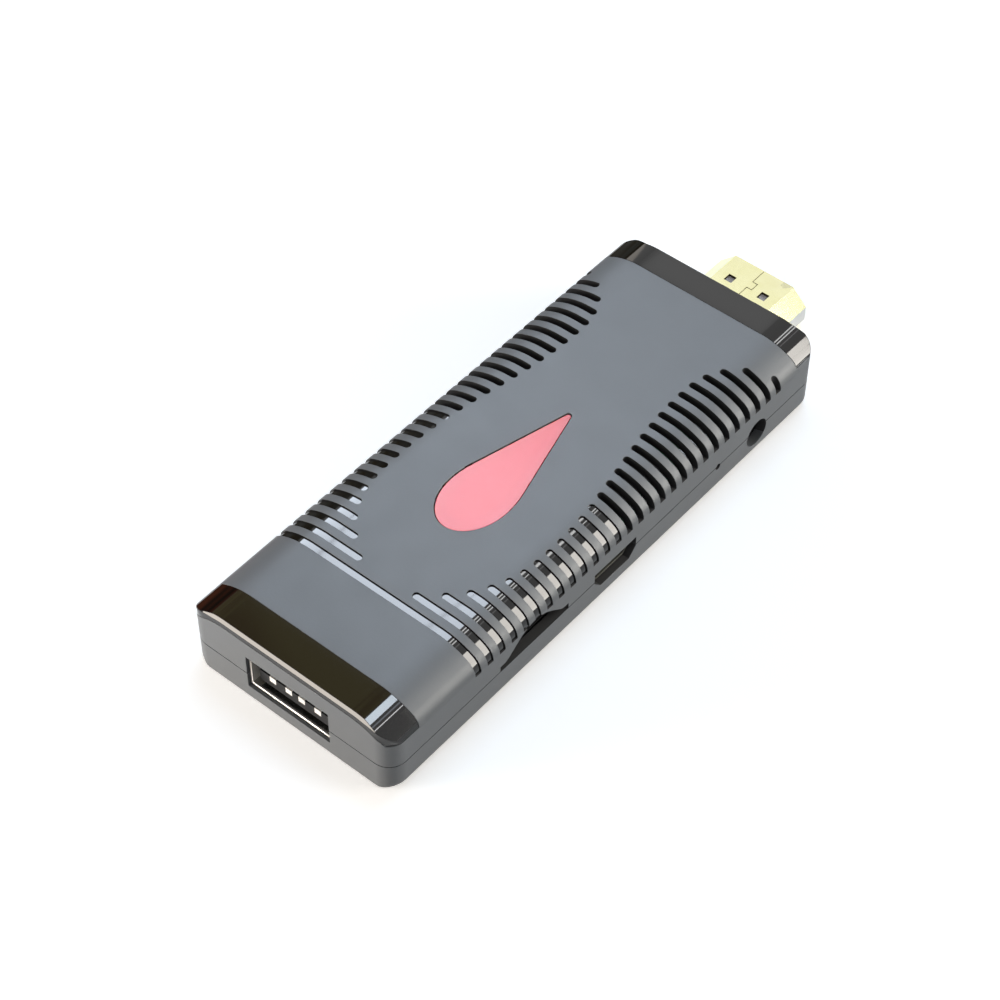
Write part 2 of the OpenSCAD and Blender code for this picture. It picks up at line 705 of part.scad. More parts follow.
// Card socket: base with its rails, cover, contacts and the sprung slider.
slider_w = rail_w - 5 * fit_gap;
slider_l = socket_l / 4;
slider_hook_l = slider_w;
back_rail_x = socket_back_x + rail_w;
slider_rest_x = back_rail_x + pressed_spring_l + slider_travel;
card_pin_count = 8;
card_pin_w = card_w / (2 * card_pin_count);
module card_socket_base() color("#26272a") difference() {
    span([socket_back_x, socket_near_y, board_top], [socket_front_x, socket_far_y, socket_top]);
    span([back_rail_x, socket_near_y + rail_w, socket_floor], [socket_front_x + over, socket_far_y - rail_w, body_h]);
    // Channel of the slider and its spring
    span([back_rail_x, socket_far_y - rail_w - over, socket_floor],
         [slider_rest_x + slider_l, socket_far_y - rail_w + slider_w + fit_gap, body_h]);
    card_pins();
}
module card_socket_cover() color("#b7bab8") difference() {
    union() {
        span([socket_back_x, socket_near_y, socket_top], [socket_front_x, socket_far_y, socket_top + socket_sheet]);
        for (y = [socket_near_y - socket_sheet, socket_far_y])
            span([socket_back_x, y, board_top], [socket_front_x, y + socket_sheet, socket_top + socket_sheet]);
    }
    for (y = [-1, 1])
        span([socket_back_x + rail_w, card_y + y * card_w / 4 - rail_w / 2, socket_top - over],
             [socket_back_x + 3 * rail_w, card_y + y * card_w / 4 + rail_w / 2, body_h]);
}
module card_pins() {
    for (i = [0:card_pin_count - 1]) {
        y = card_y + (i - (card_pin_count - 1) / 2) * 2 * card_pin_w;
        span([socket_back_x - rail_w / 4, y - card_pin_w / 2, board_top],
             [socket_back_x + 2 * rail_w, y + card_pin_w / 2, board_top + pin_t]);
        span([socket_back_x + 2 * rail_w - pin_t, y - card_pin_w / 2, board_top],
             [socket_back_x + 2 * rail_w, y + card_pin_w / 2, socket_floor + pin_t]);
        span([socket_back_x + 2 * rail_w - pin_t, y - card_pin_w / 2, socket_floor],
             [socket_back_x + 3 * rail_w, y + card_pin_w / 2, socket_floor + pin_t]);
    }
}
module card_contacts() color("#d8b45a") card_pins();
module card_slider() color("#d9d6cc") {
    low = socket_floor + fit_gap / 2;
    high = socket_top - fit_gap / 2;
    y = socket_far_y - rail_w + fit_gap / 2;
    span([slider_rest_x, y, low], [slider_rest_x + slider_l - fit_gap / 2, y + slider_w, high]);
    span([slider_rest_x, y - slider_hook_l, low], [slider_rest_x + slider_w, y + slider_w / 2, high]);
}

// Spring behind the slider, wound as one wire with straight ends.
spring_wire = card_h / 7;
spring_turns = 8;
spring_sides = 6;
spring_steps = 8;
spring_r = (card_h - spring_wire) / 2 - spring_wire / 4;
spring_from = back_rail_x + spring_wire / 2;
spring_to = slider_rest_x - spring_wire / 2;
spring_rings = spring_turns * spring_steps;
spring_pitch = (spring_to - spring_from) / spring_turns;
spring_slope = atan(spring_pitch / (2 * PI * spring_r));
function spring_ring(i) = let (a = 360 * i / spring_steps) [for (j = [0:spring_sides - 1])
    let (b = 360 * j / spring_sides, r = spring_r + spring_wire / 2 * cos(b), q = spring_wire / 2 * sin(b))
    [spring_from + (spring_to - spring_from) * i / spring_rings + q * cos(spring_slope),
     r * cos(a) + q * sin(spring_slope) * sin(a),
     r * sin(a) - q * sin(spring_slope) * cos(a)]];
module card_spring() color("#a9adaf")
    translate([0, socket_far_y - rail_w + fit_gap / 2 + slider_w / 2, (socket_floor + socket_top) / 2])
        polyhedron(
            points = [for (i = [0:spring_rings]) each spring_ring(i)],
            faces = concat(
                [[for (j = [0:spring_sides - 1]) j]],
                [[for (j = [spring_sides - 1:-1:0]) spring_rings * spring_sides + j]],
                [for (i = [0:spring_rings - 1], j = [0:spring_sides - 1]) let (k = (j + 1) % spring_sides)
                    each [[i * spring_sides + j, (i + 1) * spring_sides + j, (i + 1) * spring_sides + k],
                          [i * spring_sides + j, (i + 1) * spring_sides + k, i * spring_sides + k]]]));

// Round jack: body sunk into the board, and its side contacts.
jack_front_x = cavity_half_w - fit_gap;
jack_back_x = jack_front_x - jack_l;
jack_blade_y = jack_bore_d / 2 + 3 * fit_gap;
jack_blade_w = jack_l / 6;
jack_blade_top = jack_z + jack_h / 4;
jack_blade_share = [0.16, 0.45];
module at_jack_blades() {
    for (side = [0, 1], share = jack_blade_share)
        translate([jack_back_x + share * jack_l, jack_y, 0]) mirror([0, side, 0]) children();
}
module jack_body() color("#1e1f21") difference() {
    span([jack_back_x, jack_y - jack_w / 2, jack_z - jack_h / 2], [jack_front_x, jack_y + jack_w / 2, jack_z + jack_h / 2]);
    translate([jack_back_x + wall, jack_y, jack_z]) rotate([0, 90, 0]) cylinder(h = jack_l, d = jack_bore_d);
    at_jack_blades() span([-jack_blade_w / 2, jack_blade_y, board_top], [jack_blade_w / 2, jack_w, jack_blade_top]);
}
module jack_contacts() color("#c9b98a") at_jack_blades()
    translate([-jack_blade_w / 2, 0, 0]) rotate([90, 0, 90]) linear_extrude(jack_blade_w)
        polygon([[jack_blade_y, board_top], [jack_w / 2 + 2 * jack_blade_y / 3, board_top],
                 [jack_w / 2 + 2 * jack_blade_y / 3, board_top + pin_t], [jack_blade_y + pin_t, board_top + pin_t],
                 [jack_blade_y + pin_t, jack_blade_top], [jack_blade_y, jack_blade_top]]);

// Reset switch: body, its steel cover and the sprung button behind the hole.
switch_w = 4 * reset_hole_d;
switch_l = 2.2 * reset_hole_d;
switch_h = 1.7 * reset_hole_d;
switch_front_x = board_half_w - fit_gap;
switch_back_x = switch_front_x - switch_l;
button_w = 1.3 * reset_hole_d;
button_h = 0.8 * reset_hole_d;
button_step_x = switch_front_x - switch_l / 4;
button_tip_x = cavity_half_w - reset_hole_d;
flange_l = reset_hole_d / 3;
module button_block(back, front, w, grow) {
    span([back, reset_y - w / 2 - grow, reset_z - button_h / 2 - grow],
         [front, reset_y + w / 2 + grow, reset_z + button_h / 2 + grow]);
}
module reset_switch_body() color("#232427") difference() {
    span([switch_back_x, reset_y - switch_w / 2, board_top], [switch_front_x, reset_y + switch_w / 2, board_top + switch_h]);
    button_block(button_step_x - flange_l - reset_travel - 2 * fit_gap, button_step_x, 1.6 * button_w, fit_gap / 2);
    button_block(button_step_x - over, switch_front_x + over, button_w, fit_gap / 2);
}
module reset_switch_cover() color("#b9bcba") {
    sheet = socket_sheet;
    span([switch_back_x, reset_y - switch_w / 2 - sheet, board_top + switch_h],
         [switch_front_x, reset_y + switch_w / 2 + sheet, board_top + switch_h + sheet]);
    for (y = [reset_y - switch_w / 2 - sheet, reset_y + switch_w / 2])
        span([switch_back_x, y, board_top], [switch_front_x, y + sheet, board_top + switch_h + sheet]);
}
module reset_button() color("#0f1012") {
    button_block(button_step_x - fit_gap / 2 - flange_l, button_step_x - fit_gap / 2, 1.6 * button_w, 0);
    button_block(button_step_x - fit_gap, button_tip_x, button_w, 0);
}

// Layout of the board: each chip starts where its neighbour ends.
chip_gap = board_t * 0.8;
left_x = -board_half_w + board_t / 3;
flash_size = [11.5, 12.6, 1];
memory_size = [7.5, 12, 1];
processor_size = [14, 14, 1.2];
wireless_size = [11.4, 11.6, 0.6];
coil_size = [4, 4, 2];
crystal_size = [3.2, 1.6, 0.7];
capacitor_size = [0.6, 1.1, 0.6];
light_size = [1.6, 0.8, 0.6];
flash_y = usb_tail_y + board_half_w / 8 + chip_gap / 2;
memory_y = flash_y + flash_size[1] + chip_gap;
memory_2_x = left_x + memory_size[0] + chip_gap;
memory_2_y = socket_far_y + socket_sheet + chip_gap;
processor_y = memory_2_y + memory_size[1] + chip_gap;
processor_x = left_x + board_half_w / 4;
wireless_y = processor_y + processor_size[1] + chip_gap;
processor_right = processor_x + processor_size[0];
module chip(x, y, size) {
    edge = size[2] / 3;
    translate([x, y, board_top]) difference() {
        cube(size);
        // Corner mark where the first pad lies
        translate([2 * edge, size[1] - 2 * edge, size[2]]) cylinder(h = edge / 2, r = edge / 2, center = true);
    }
}

boss_half = boss_d / 2;
screw_places = [
    [left_x + boss_half - board_t / 3, memory_y + memory_size[1] + boss_half],
    [board_half_w - boss_half - board_t, (reset_y + switch_w / 2 + jack_y - jack_w / 2) / 2]];
post_share = 0.8;
post_places = [
    for (x = [-1, 1], y = [board_near_y + 2 * boss_d, board_far_y - boss_d / 2])
        [x * post_share * board_half_w, y]];

module main_board() color("#1f6b3a") difference() {
    translate([0, 0, board_z]) linear_extrude(board_t) difference() {
        translate([-board_half_w, board_near_y]) square([2 * board_half_w, board_far_y - board_near_y]);
        translate([usb_x - usb_out_w / 2 - 2 * fit_gap, board_near_y - over])
            square([usb_out_w + 4 * fit_gap, usb_end_y + 2 * fit_gap - board_near_y + over]);
        translate([jack_back_x - 2 * fit_gap, jack_y - jack_w / 2 - 2 * fit_gap])
            square([body_w, jack_w + 4 * fit_gap]);
        translate([power_end_x - 2 * fit_gap, power_y - power_w / 2 - 2 * fit_gap])
            square([body_w, power_w + 4 * fit_gap]);
        for (place = screw_places) translate(place) circle(screw_d / 2 + fit_gap);
    }
}

module board_screws() color("#8d9092")
    for (place = screw_places) translate([place[0], place[1], board_top]) difference() {
        union() {
            translate([0, 0, -screw_l]) cylinder(h = screw_l + screw_head_h / 2, d = screw_d);
            cylinder(h = screw_head_h, d = screw_head_d);
        }
        for (a = [0, 90]) rotate([0, 0, a]) translate([0, 0, screw_head_h])
            cube([screw_head_d * 0.6, screw_head_d * 0.15, screw_head_h], center = true);
    }

module processor() color("#2b2d30") chip(processor_x, processor_y, processor_size);
module memory_chips() color("#26282b") {
    chip(left_x, memory_y, memory_size);
    chip(memory_2_x, memory_2_y, memory_size);
}
module flash_chip() color("#2a2c2f") chip(left_x, flash_y, flash_size);

// Cooling stack over the processor, under the vents.
pad_t = 0.8;
pad_z = board_top + processor_size[2];
sink_z = pad_z + pad_t;
sink_base_t = 1;
sink_fin_t = 0.8;
sink_fin_count = 8;
sink_top_z = body_h - wall - 4 * fit_gap;
sink_low_x = processor_x - 1.2 * chip_gap;
sink_high_x = processor_right + 1.2 * chip_gap;
sink_low_y = memory_2_y;
sink_high_y = processor_y + processor_size[1];
module thermal_pad() color("#9fb4c4")
    span([processor_x + chip_gap, processor_y + chip_gap, pad_z],
         [processor_right - chip_gap, sink_high_y - chip_gap, sink_z]);
module heat_sink() color("#8c9196") {
    span([sink_low_x, sink_low_y, sink_z], [sink_high_x, sink_high_y, sink_z + sink_base_t]);
    fin_step = (sink_high_x - sink_low_x - sink_fin_t) / (sink_fin_count - 1);
    for (i = [0:sink_fin_count - 1])
        span([sink_low_x + i * fin_step, sink_low_y, sink_z + sink_base_t / 2],
             [sink_low_x + i * fin_step + sink_fin_t, sink_high_y, sink_top_z]);
}

// Wireless module, its can and the stamped antenna.
can_inset = chip_gap / 2;
can_h = 1.2;
can_t = 0.2;
module wireless_board() color("#20503a")
    span([left_x, wireless_y, board_top],
         [left_x + wireless_size[0], wireless_y + wireless_size[1], board_top + wireless_size[2]]);
module wireless_shield() color("#c3c6c7")
    translate([left_x + can_inset, wireless_y + can_inset, board_top + wireless_size[2]]) difference() {
        cube([wireless_size[0] - 2 * can_inset, wireless_size[1] - 2 * can_inset, can_h]);
        translate([can_t, can_t, -can_t])
            cube([wireless_size[0] - 2 * (can_inset + can_t), wireless_size[1] - 2 * (can_inset + can_t), can_h]);
    }

antenna_w = 2.4;
antenna_z = usb_low_z + usb_h;
antenna_t = 0.3;
antenna_x = left_x + boss_half;
antenna_y = board_near_y + 3 * boss_d;
module antenna() color("#d0c48e") {
    span([antenna_x, board_near_y + 1.4 * board_t, antenna_z], [antenna_x + antenna_w, antenna_y + antenna_w, antenna_z + antenna_t]);
    for (y = [antenna_y - antenna_w, antenna_y + antenna_w - antenna_t])
        span([antenna_x, y, board_top], [antenna_x + antenna_w / 2, y + antenna_t, antenna_z + antenna_t]);
}

module clock_crystal() color("#cfd1d0")
    translate([processor_right + chip_gap, sink_high_y + chip_gap, board_top]) cube(crystal_size);

coil_x = processor_right + 3 * chip_gap;
module power_coils() color("#6a6d70")
    for (i = [0:1]) translate([coil_x, processor_y + chip_gap + i * (coil_size[1] + chip_gap), board_top])
        difference() {
            cube(coil_size);
            translate([coil_size[0] / 2, coil_size[1] / 2, coil_size[2]])
                cylinder(h = coil_size[2] / 2, d = coil_size[0] / 2, center = true);
        }

capacitor_rows = 6;
capacitor_step = processor_size[1] / capacitor_rows;
module board_capacitors() color("#b98a5a")
    for (x = [processor_x - chip_gap - capacitor_size[0], processor_right + chip_gap], i = [0:capacitor_rows - 1])
        translate([x, processor_y + (i + 1 / 2) * capacitor_step - capacitor_size[1] / 2, board_top])
            cube(capacitor_size);

module status_light() color("#e9f1f6")
    translate([post_share * board_half_w - light_size[0] / 2, usb_end_y - usb_block_l, board_top]) {
        cube([light_size[0], light_size[1], light_size[2] / 2]);
        translate([light_size[0] / 5, 0, 0]) cube([light_size[0] * 3 / 5, light_size[1], light_size[2]]);
    }

top_cover();
bottom_cover();
near_trim();
far_trim();
drop_inlay();
plug_shell();
plug_insulator();
plug_contacts();
usb_shell();
usb_tongue();
usb_contacts();
power_port_shell();
power_port_tongue();
power_port_contacts();
card_socket_base();
card_socket_cover();
card_contacts();
card_slider();
card_spring();
jack_body();
jack_contacts();
reset_switch_body();
reset_switch_cover();
reset_button();
main_board();
board_screws();
processor();
thermal_pad();
heat_sink();
memory_chips();
flash_chip();
wireless_board();
wireless_shield();
antenna();
clock_crystal();
power_coils();
board_capacitors();
status_light();
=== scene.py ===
"""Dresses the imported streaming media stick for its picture.

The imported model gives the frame: every piece lies where its CAD node lies, in metres, with +Y out of the
picture plug, +X out of the side ports and +Z up.
"""

import logging
import math
from collections.abc import Callable
from dataclasses import dataclass
from enum import Enum
from typing import Any

import bmesh
import bpy
from bmesh.types import BMesh, BMFace, BMVert
from bpy.types import ID, Material, Node, NodeSocket, NodeTree, Object
from mathutils import Matrix, Vector

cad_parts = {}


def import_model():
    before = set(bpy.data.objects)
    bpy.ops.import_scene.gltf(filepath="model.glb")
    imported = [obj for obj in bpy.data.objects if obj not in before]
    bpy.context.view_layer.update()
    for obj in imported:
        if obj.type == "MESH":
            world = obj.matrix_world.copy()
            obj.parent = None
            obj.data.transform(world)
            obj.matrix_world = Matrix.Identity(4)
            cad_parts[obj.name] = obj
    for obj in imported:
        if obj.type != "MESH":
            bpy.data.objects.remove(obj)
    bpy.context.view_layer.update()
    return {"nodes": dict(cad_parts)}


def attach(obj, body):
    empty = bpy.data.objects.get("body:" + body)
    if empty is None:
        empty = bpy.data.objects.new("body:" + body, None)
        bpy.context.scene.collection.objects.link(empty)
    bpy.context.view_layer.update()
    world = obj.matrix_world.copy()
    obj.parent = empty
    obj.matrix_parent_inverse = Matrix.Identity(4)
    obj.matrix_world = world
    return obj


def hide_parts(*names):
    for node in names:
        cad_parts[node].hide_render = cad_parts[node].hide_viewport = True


Point = tuple[float, float, float]
LOG = logging.getLogger("media_stick")
# The CAD body that all pieces made here ride on.
HOUSING = "housing"
MM = 0.001
# Least part of a face's normal along an axis, for a face that looks that way.
FACING = 0.9
# Least part along an axis for a face that leans that way.
LEANING = 0.5
# Points of a CAD mesh closer than this are one, in mm.
MERGE_MM = 0.002
# Faces that bend less than this are joined into one, in degrees.
FLAT_ANGLE = 0.5
# Edges that bend more than this stay sharp, in degrees.
SHARP_ANGLE = 32.0
# A smear on a surface is this many grains wide.
SMEAR_GRAINS = 12
WHITE = "#FFFFFF"
SKY = "#E6F1FF"
WARM_WHITE = "#FFFAF2"


def to_linear(hex_colour: str) -> tuple[float, float, float, float]:
    """Turns an sRGB hex colour into the linear values that the shaders take.

    Args:
        hex_colour: Six hex digits with a leading hash sign.

    Returns:
        Red, green, blue and a full alpha.
    """
    parts = [int(hex_colour[i:i + 2], 16) / 255 for i in (1, 3, 5)]
    linear = [c / 12.92 if c <= 0.04045 else ((c + 0.055) / 1.055) ** 2.4 for c in parts]
    return (linear[0], linear[1], linear[2], 1.0)


def add_node(tree: NodeTree, kind: str, inputs: dict[Any, Any] | None = None, **settings: Any) -> Node:
    """Adds a node with its settings, values and links.

    Args:
        tree: The shader or geometry tree that takes the node.
        kind: The node's type.
        inputs: A value, socket or node for each named or numbered input; a node gives its first output.
        settings: Attributes of the node, set before its inputs.

    Returns:
        The new node.
    """
    node = tree.nodes.new(kind)
    for key, value in settings.items():
        setattr(node, key, value)
    for key, value in (inputs or {}).items():
        if isinstance(value, (Node, NodeSocket)):
            tree.links.new(value.outputs[0] if isinstance(value, Node) else value, node.inputs[key])
        else:
            node.inputs[key].default_value = value
    return node


def empty_material(name: str) -> Material:
    """Makes a material whose node tree is empty.

    Args:
        name: The material's name.

    Returns:
        The material.
    """
    made = bpy.data.materials.new(name)
    made.use_nodes = True
    made.node_tree.nodes.clear()
    return made


def add_object(name: str, data: ID) -> Object:
    """Puts a new object into the scene.

    Args:
        name: The object's name.
        data: Its mesh, light or camera.

    Returns:
        The object, at the origin.
    """
    made = bpy.data.objects.new(name, data)
    bpy.context.scene.collection.objects.link(made)
    return made


def mesh_object(name: str, work: BMesh) -> Object:
    """Turns a finished bmesh into an object.

    Args:
        name: The object's name.
        work: The bmesh, which is freed.

    Returns:
        The object, at the origin and without a material.
    """
    mesh = bpy.data.meshes.new(name)
    work.to_mesh(mesh)
    work.free()
    return add_object(name, mesh)


def loft(work: BMesh, rings: list[list[BMVert]]) -> None:
    """Closes a form over a row of rings and caps both ends.

    Args:
        work: The bmesh that holds the rings' points.
        rings: The rings, each with the same number of points.
    """
    for before, after in zip(rings, rings[1:]):
        for i, j in zip(range(len(before)), [*range(1, len(before)), 0]):
            work.faces.new((before[i], before[j], after[j], after[i]))
    for ring in (rings[0], rings[-1]):
        work.faces.new(ring)


def shade_smooth(work: BMesh, sharp_angle: float) -> None:
    """Turns all faces outwards and smooths their shading.

    Args:
        work: The bmesh.
        sharp_angle: Edges that bend more than this stay sharp, in degrees.
    """
    bmesh.ops.recalc_face_normals(work, faces=work.faces)
    for face in work.faces:
        face.smooth = True
    for edge in work.edges:
        edge.smooth = edge.calc_face_angle(0.0) < math.radians(sharp_angle)


@dataclass(frozen=True)
class Grain:
    """Fine relief of a surface: the width and depth of its grains, and how much its gloss wanders."""

    size_mm: float
    depth_mm: float
    gloss_change: float
    stretch: Point = (1.0, 1.0, 1.0)


@dataclass(frozen=True)
class Finish:
    """A material with its colour, the shade that the colour drifts to, and the grain that its making left."""

    name: str
    colour: str
    shade: str
    roughness: float
    grain: Grain
    shade_mm: float = 1.0
    metallic: float = 0.0
    ior: float = 1.5
    coat: float = 0.0
    coat_roughness: float = 0.05
    transmission: float = 0.0

    def material(self) -> Material:
        """Builds the material at the first call and hands out the same one after that.

        Returns:
            The material of this finish.
        """
        found = bpy.data.materials.get(self.name)
        if found:
            return found
        made = empty_material(self.name)
        tree = made.node_tree
        place = add_node(tree, "ShaderNodeTexCoord").outputs["Object"]
        cloud = add_node(tree, "ShaderNodeTexNoise", {
            "Vector": place, "Scale": 1 / (self.shade_mm * MM), "Detail": 3.0, "Roughness": 0.55})
        drift = add_node(tree, "ShaderNodeMix", {
            0: cloud, 6: to_linear(self.colour), 7: to_linear(self.shade)}, data_type="RGBA")
        along = add_node(tree, "ShaderNodeMapping", {"Vector": place, "Scale": self.grain.stretch})
        fine = add_node(tree, "ShaderNodeTexNoise", {
            "Vector": along, "Scale": 1 / (self.grain.size_mm * MM), "Detail": 2.0})
        relief = add_node(tree, "ShaderNodeBump", {"Height": fine, "Distance": self.grain.depth_mm * MM})
        smear = add_node(tree, "ShaderNodeTexNoise", {
            "Vector": along, "Scale": 1 / (SMEAR_GRAINS * self.grain.size_mm * MM), "Detail": 4.0})
        gloss = add_node(tree, "ShaderNodeMapRange", {
            "Value": smear, "To Min": self.roughness - self.grain.gloss_change,
            "To Max": self.roughness + self.grain.gloss_change})
        shader = add_node(tree, "ShaderNodeBsdfPrincipled", {
            "Base Color": drift.outputs[2], "Roughness": gloss, "Metallic": self.metallic,
            "Normal": relief, "Coat Weight": self.coat, "Coat Roughness": self.coat_roughness,
            "Transmission Weight": self.transmission})
        if not self.metallic:
            shader.inputs["IOR"].default_value = self.ior
        add_node(tree, "ShaderNodeOutputMaterial", {"Surface": shader})
        return made


# ABS from a spark-eroded mould: fine pits give a soft, even sheen.
MATT_ABS = Finish("spark-eroded grey ABS", "#54575A", "#585B5D", 0.48, Grain(0.3, 0.006, 0.05),
                  shade_mm=9, ior=1.46)
# ABS from a mirror-polished mould: deep black, with the faint waviness of a moulded gloss.
PIANO_ABS = Finish("mirror-polished black ABS", "#0A0A0A", "#0E0C09", 0.04, Grain(2.5, 0.0008, 0.01),
                   shade_mm=5, ior=1.47)
# The same black made dull, as painted shade on the walls of the vents and side openings and in the parting
# gap.
PAINTED_SHADE_ABS = Finish("black ABS as painted shade", "#050506", "#08080A", 0.7, Grain(0.3, 0.004, 0.05), shade_mm=4)
# Enamel poured into a recess: smooth and coral red.
CORAL_ENAMEL = Finish("poured coral enamel", "#F02E38", "#F23640", 0.24, Grain(0.9, 0.0006, 0.02), shade_mm=4,
                      ior=1.42)
# Flash of gold over nickelled steel strip: thin and pale, with the drawing lines of the strip.
FLASH_GOLD = Finish("flash gold on steel strip", "#F5F3C8", "#EBE8B0", 0.08,
                    Grain(0.15, 0.0004, 0.02, (1.0, 0.15, 1.0)), shade_mm=1.6, metallic=1)
# Cut edge of the strip without plating, made dark olive as painted shade in the seam and round the latch
# windows.
BARE_EDGE_AND_SEAM_SHADE = Finish("cut edge of plated strip with painted seam shade", "#5A4E2A", "#4A4024", 0.5, Grain(0.1, 0.002, 0.08))
# Nickel, made dull and dark grey as painted shade inside the power port.
NICKEL_DARKENED_AS_SHADE = Finish("nickel darkened as painted shade", "#3E3E38", "#46463F", 0.55, Grain(0.1, 0.002, 0.06), metallic=0.5)
# Spring steel for the latch leaves behind the plug's windows: tempered to a dull brown.
TEMPERED_STEEL = Finish("tempered spring steel", "#5E534E", "#6A5F58", 0.45, Grain(0.1, 0.002, 0.06),
                        shade_mm=0.8)
# Nickelled steel strip: bright, rolled.
NICKEL_STRIP = Finish("nickel on steel strip", "#CFCECA", "#C2C1BC", 0.2,
                      Grain(0.15, 0.001, 0.05, (1.0, 0.2, 1.0)), shade_mm=2, metallic=1)
# Nickel made pale and partly diffuse: a painted highlight on the host port's mouth rim and left inner wall.
NICKEL_PAINTED_HIGHLIGHT = Finish("nickel strip with painted highlight", "#E6E2DC", "#DAD6D0", 0.3, Grain(0.15, 0.001, 0.05),
                      shade_mm=2, metallic=0.35)
# Gold over phosphor bronze: the springs of the ports.
SPRING_GOLD = Finish("gold on phosphor bronze", "#E6C67A", "#D9B566", 0.22, Grain(0.1, 0.0006, 0.04),
                     metallic=1)
# Tin over phosphor bronze: nearly white and partly diffuse, so that the host port's contacts show a painted
# glint.
TIN_WITH_PAINTED_GLINT = Finish("tin on phosphor bronze with painted glint", "#F6F5F2", "#EAE8E4", 0.3, Grain(0.1, 0.0006, 0.04),
                    metallic=0.35)
# Glass-filled nylon: dull black, with short fibres near the surface.
GLASS_NYLON = Finish("glass-filled black nylon", "#121213", "#1B1B1C", 0.48,
                     Grain(0.12, 0.003, 0.08, (0.25, 1.0, 1.0)), shade_mm=0.8)
# Solder mask over woven glass: the weave just shows.
SOLDER_MASK = Finish("green solder mask", "#0E4A2A", "#155C36", 0.3, Grain(0.5, 0.004, 0.06), shade_mm=0.9,
                     coat=0.4, coat_roughness=0.2)
# Transfer-moulded epoxy: chip bodies with a fine sparkle.
CHIP_EPOXY = Finish("transfer-moulded epoxy", "#1B1C1E", "#242528", 0.55, Grain(0.1, 0.003, 0.06),
                    shade_mm=1.5)
# Extruded aluminium, black anodised: fine lines along the extrusion.
BLACK_ANODISED = Finish("black anodised aluminium", "#141517", "#1B1C1E", 0.42,
                        Grain(0.2, 0.002, 0.06, (1.0, 0.1, 1.0)), shade_mm=3, metallic=1)
# Filled silicone: soft, dusty pad.
SILICONE_PAD = Finish("filled silicone", "#7F93A3", "#8A9CAA", 0.7, Grain(0.3, 0.01, 0.05))
# Tinned sheet: greyish white metal with soft smears.
TINNED_STEEL = Finish("tinned steel", "#A9ABAB", "#999B9A", 0.34, Grain(0.2, 0.0015, 0.08), shade_mm=2,
                      metallic=1)
# Zinc plate for the screws: dull, with faint smears.
ZINC_STEEL = Finish("zinc-plated steel", "#8F9193", "#7F8183", 0.36, Grain(0.12, 0.002, 0.08), metallic=1)
# Fired ceramic and pressed ferrite: dull, slightly speckled.
FERRITE = Finish("pressed ferrite", "#46423F", "#534D48", 0.6, Grain(0.12, 0.005, 0.06), shade_mm=0.8)
CERAMIC = Finish("fired ceramic", "#8F6340", "#A0734A", 0.5, Grain(0.08, 0.002, 0.05), shade_mm=0.5)
# Acetal: waxy white, good to slide on.
ACETAL = Finish("natural acetal", "#DAD7CE", "#D2CEC4", 0.38, Grain(0.15, 0.0015, 0.05))
# Clear epoxy lens over the light.
CLEAR_EPOXY = Finish("clear epoxy", "#EAF1F5", "#E2EBF0", 0.12, Grain(0.2, 0.0005, 0.03), shade_mm=3,
                     transmission=0.6)


class Slot(Enum):
    """The record's material slots."""

    COVER = "matt_cover"
    TRIM = "gloss_trim"
    ENAMEL = "drop_enamel"
    GOLD = "plug_gold"
    NICKEL = "nickel"


@dataclass(frozen=True)
class Region:
    """A part of a piece with its own finish, and the test that tells which faces belong to it."""

    finish: Finish
    holds: Callable[[BMFace], bool]


@dataclass(frozen=True)
class Easing:
    """How far each sharp edge of a piece is rounded: all alike, or told by the edge's middle."""

    largest_mm: float
    at: Callable[[Vector], float] | None = None
    segments: int = 3
    least_angle: float = 40.0


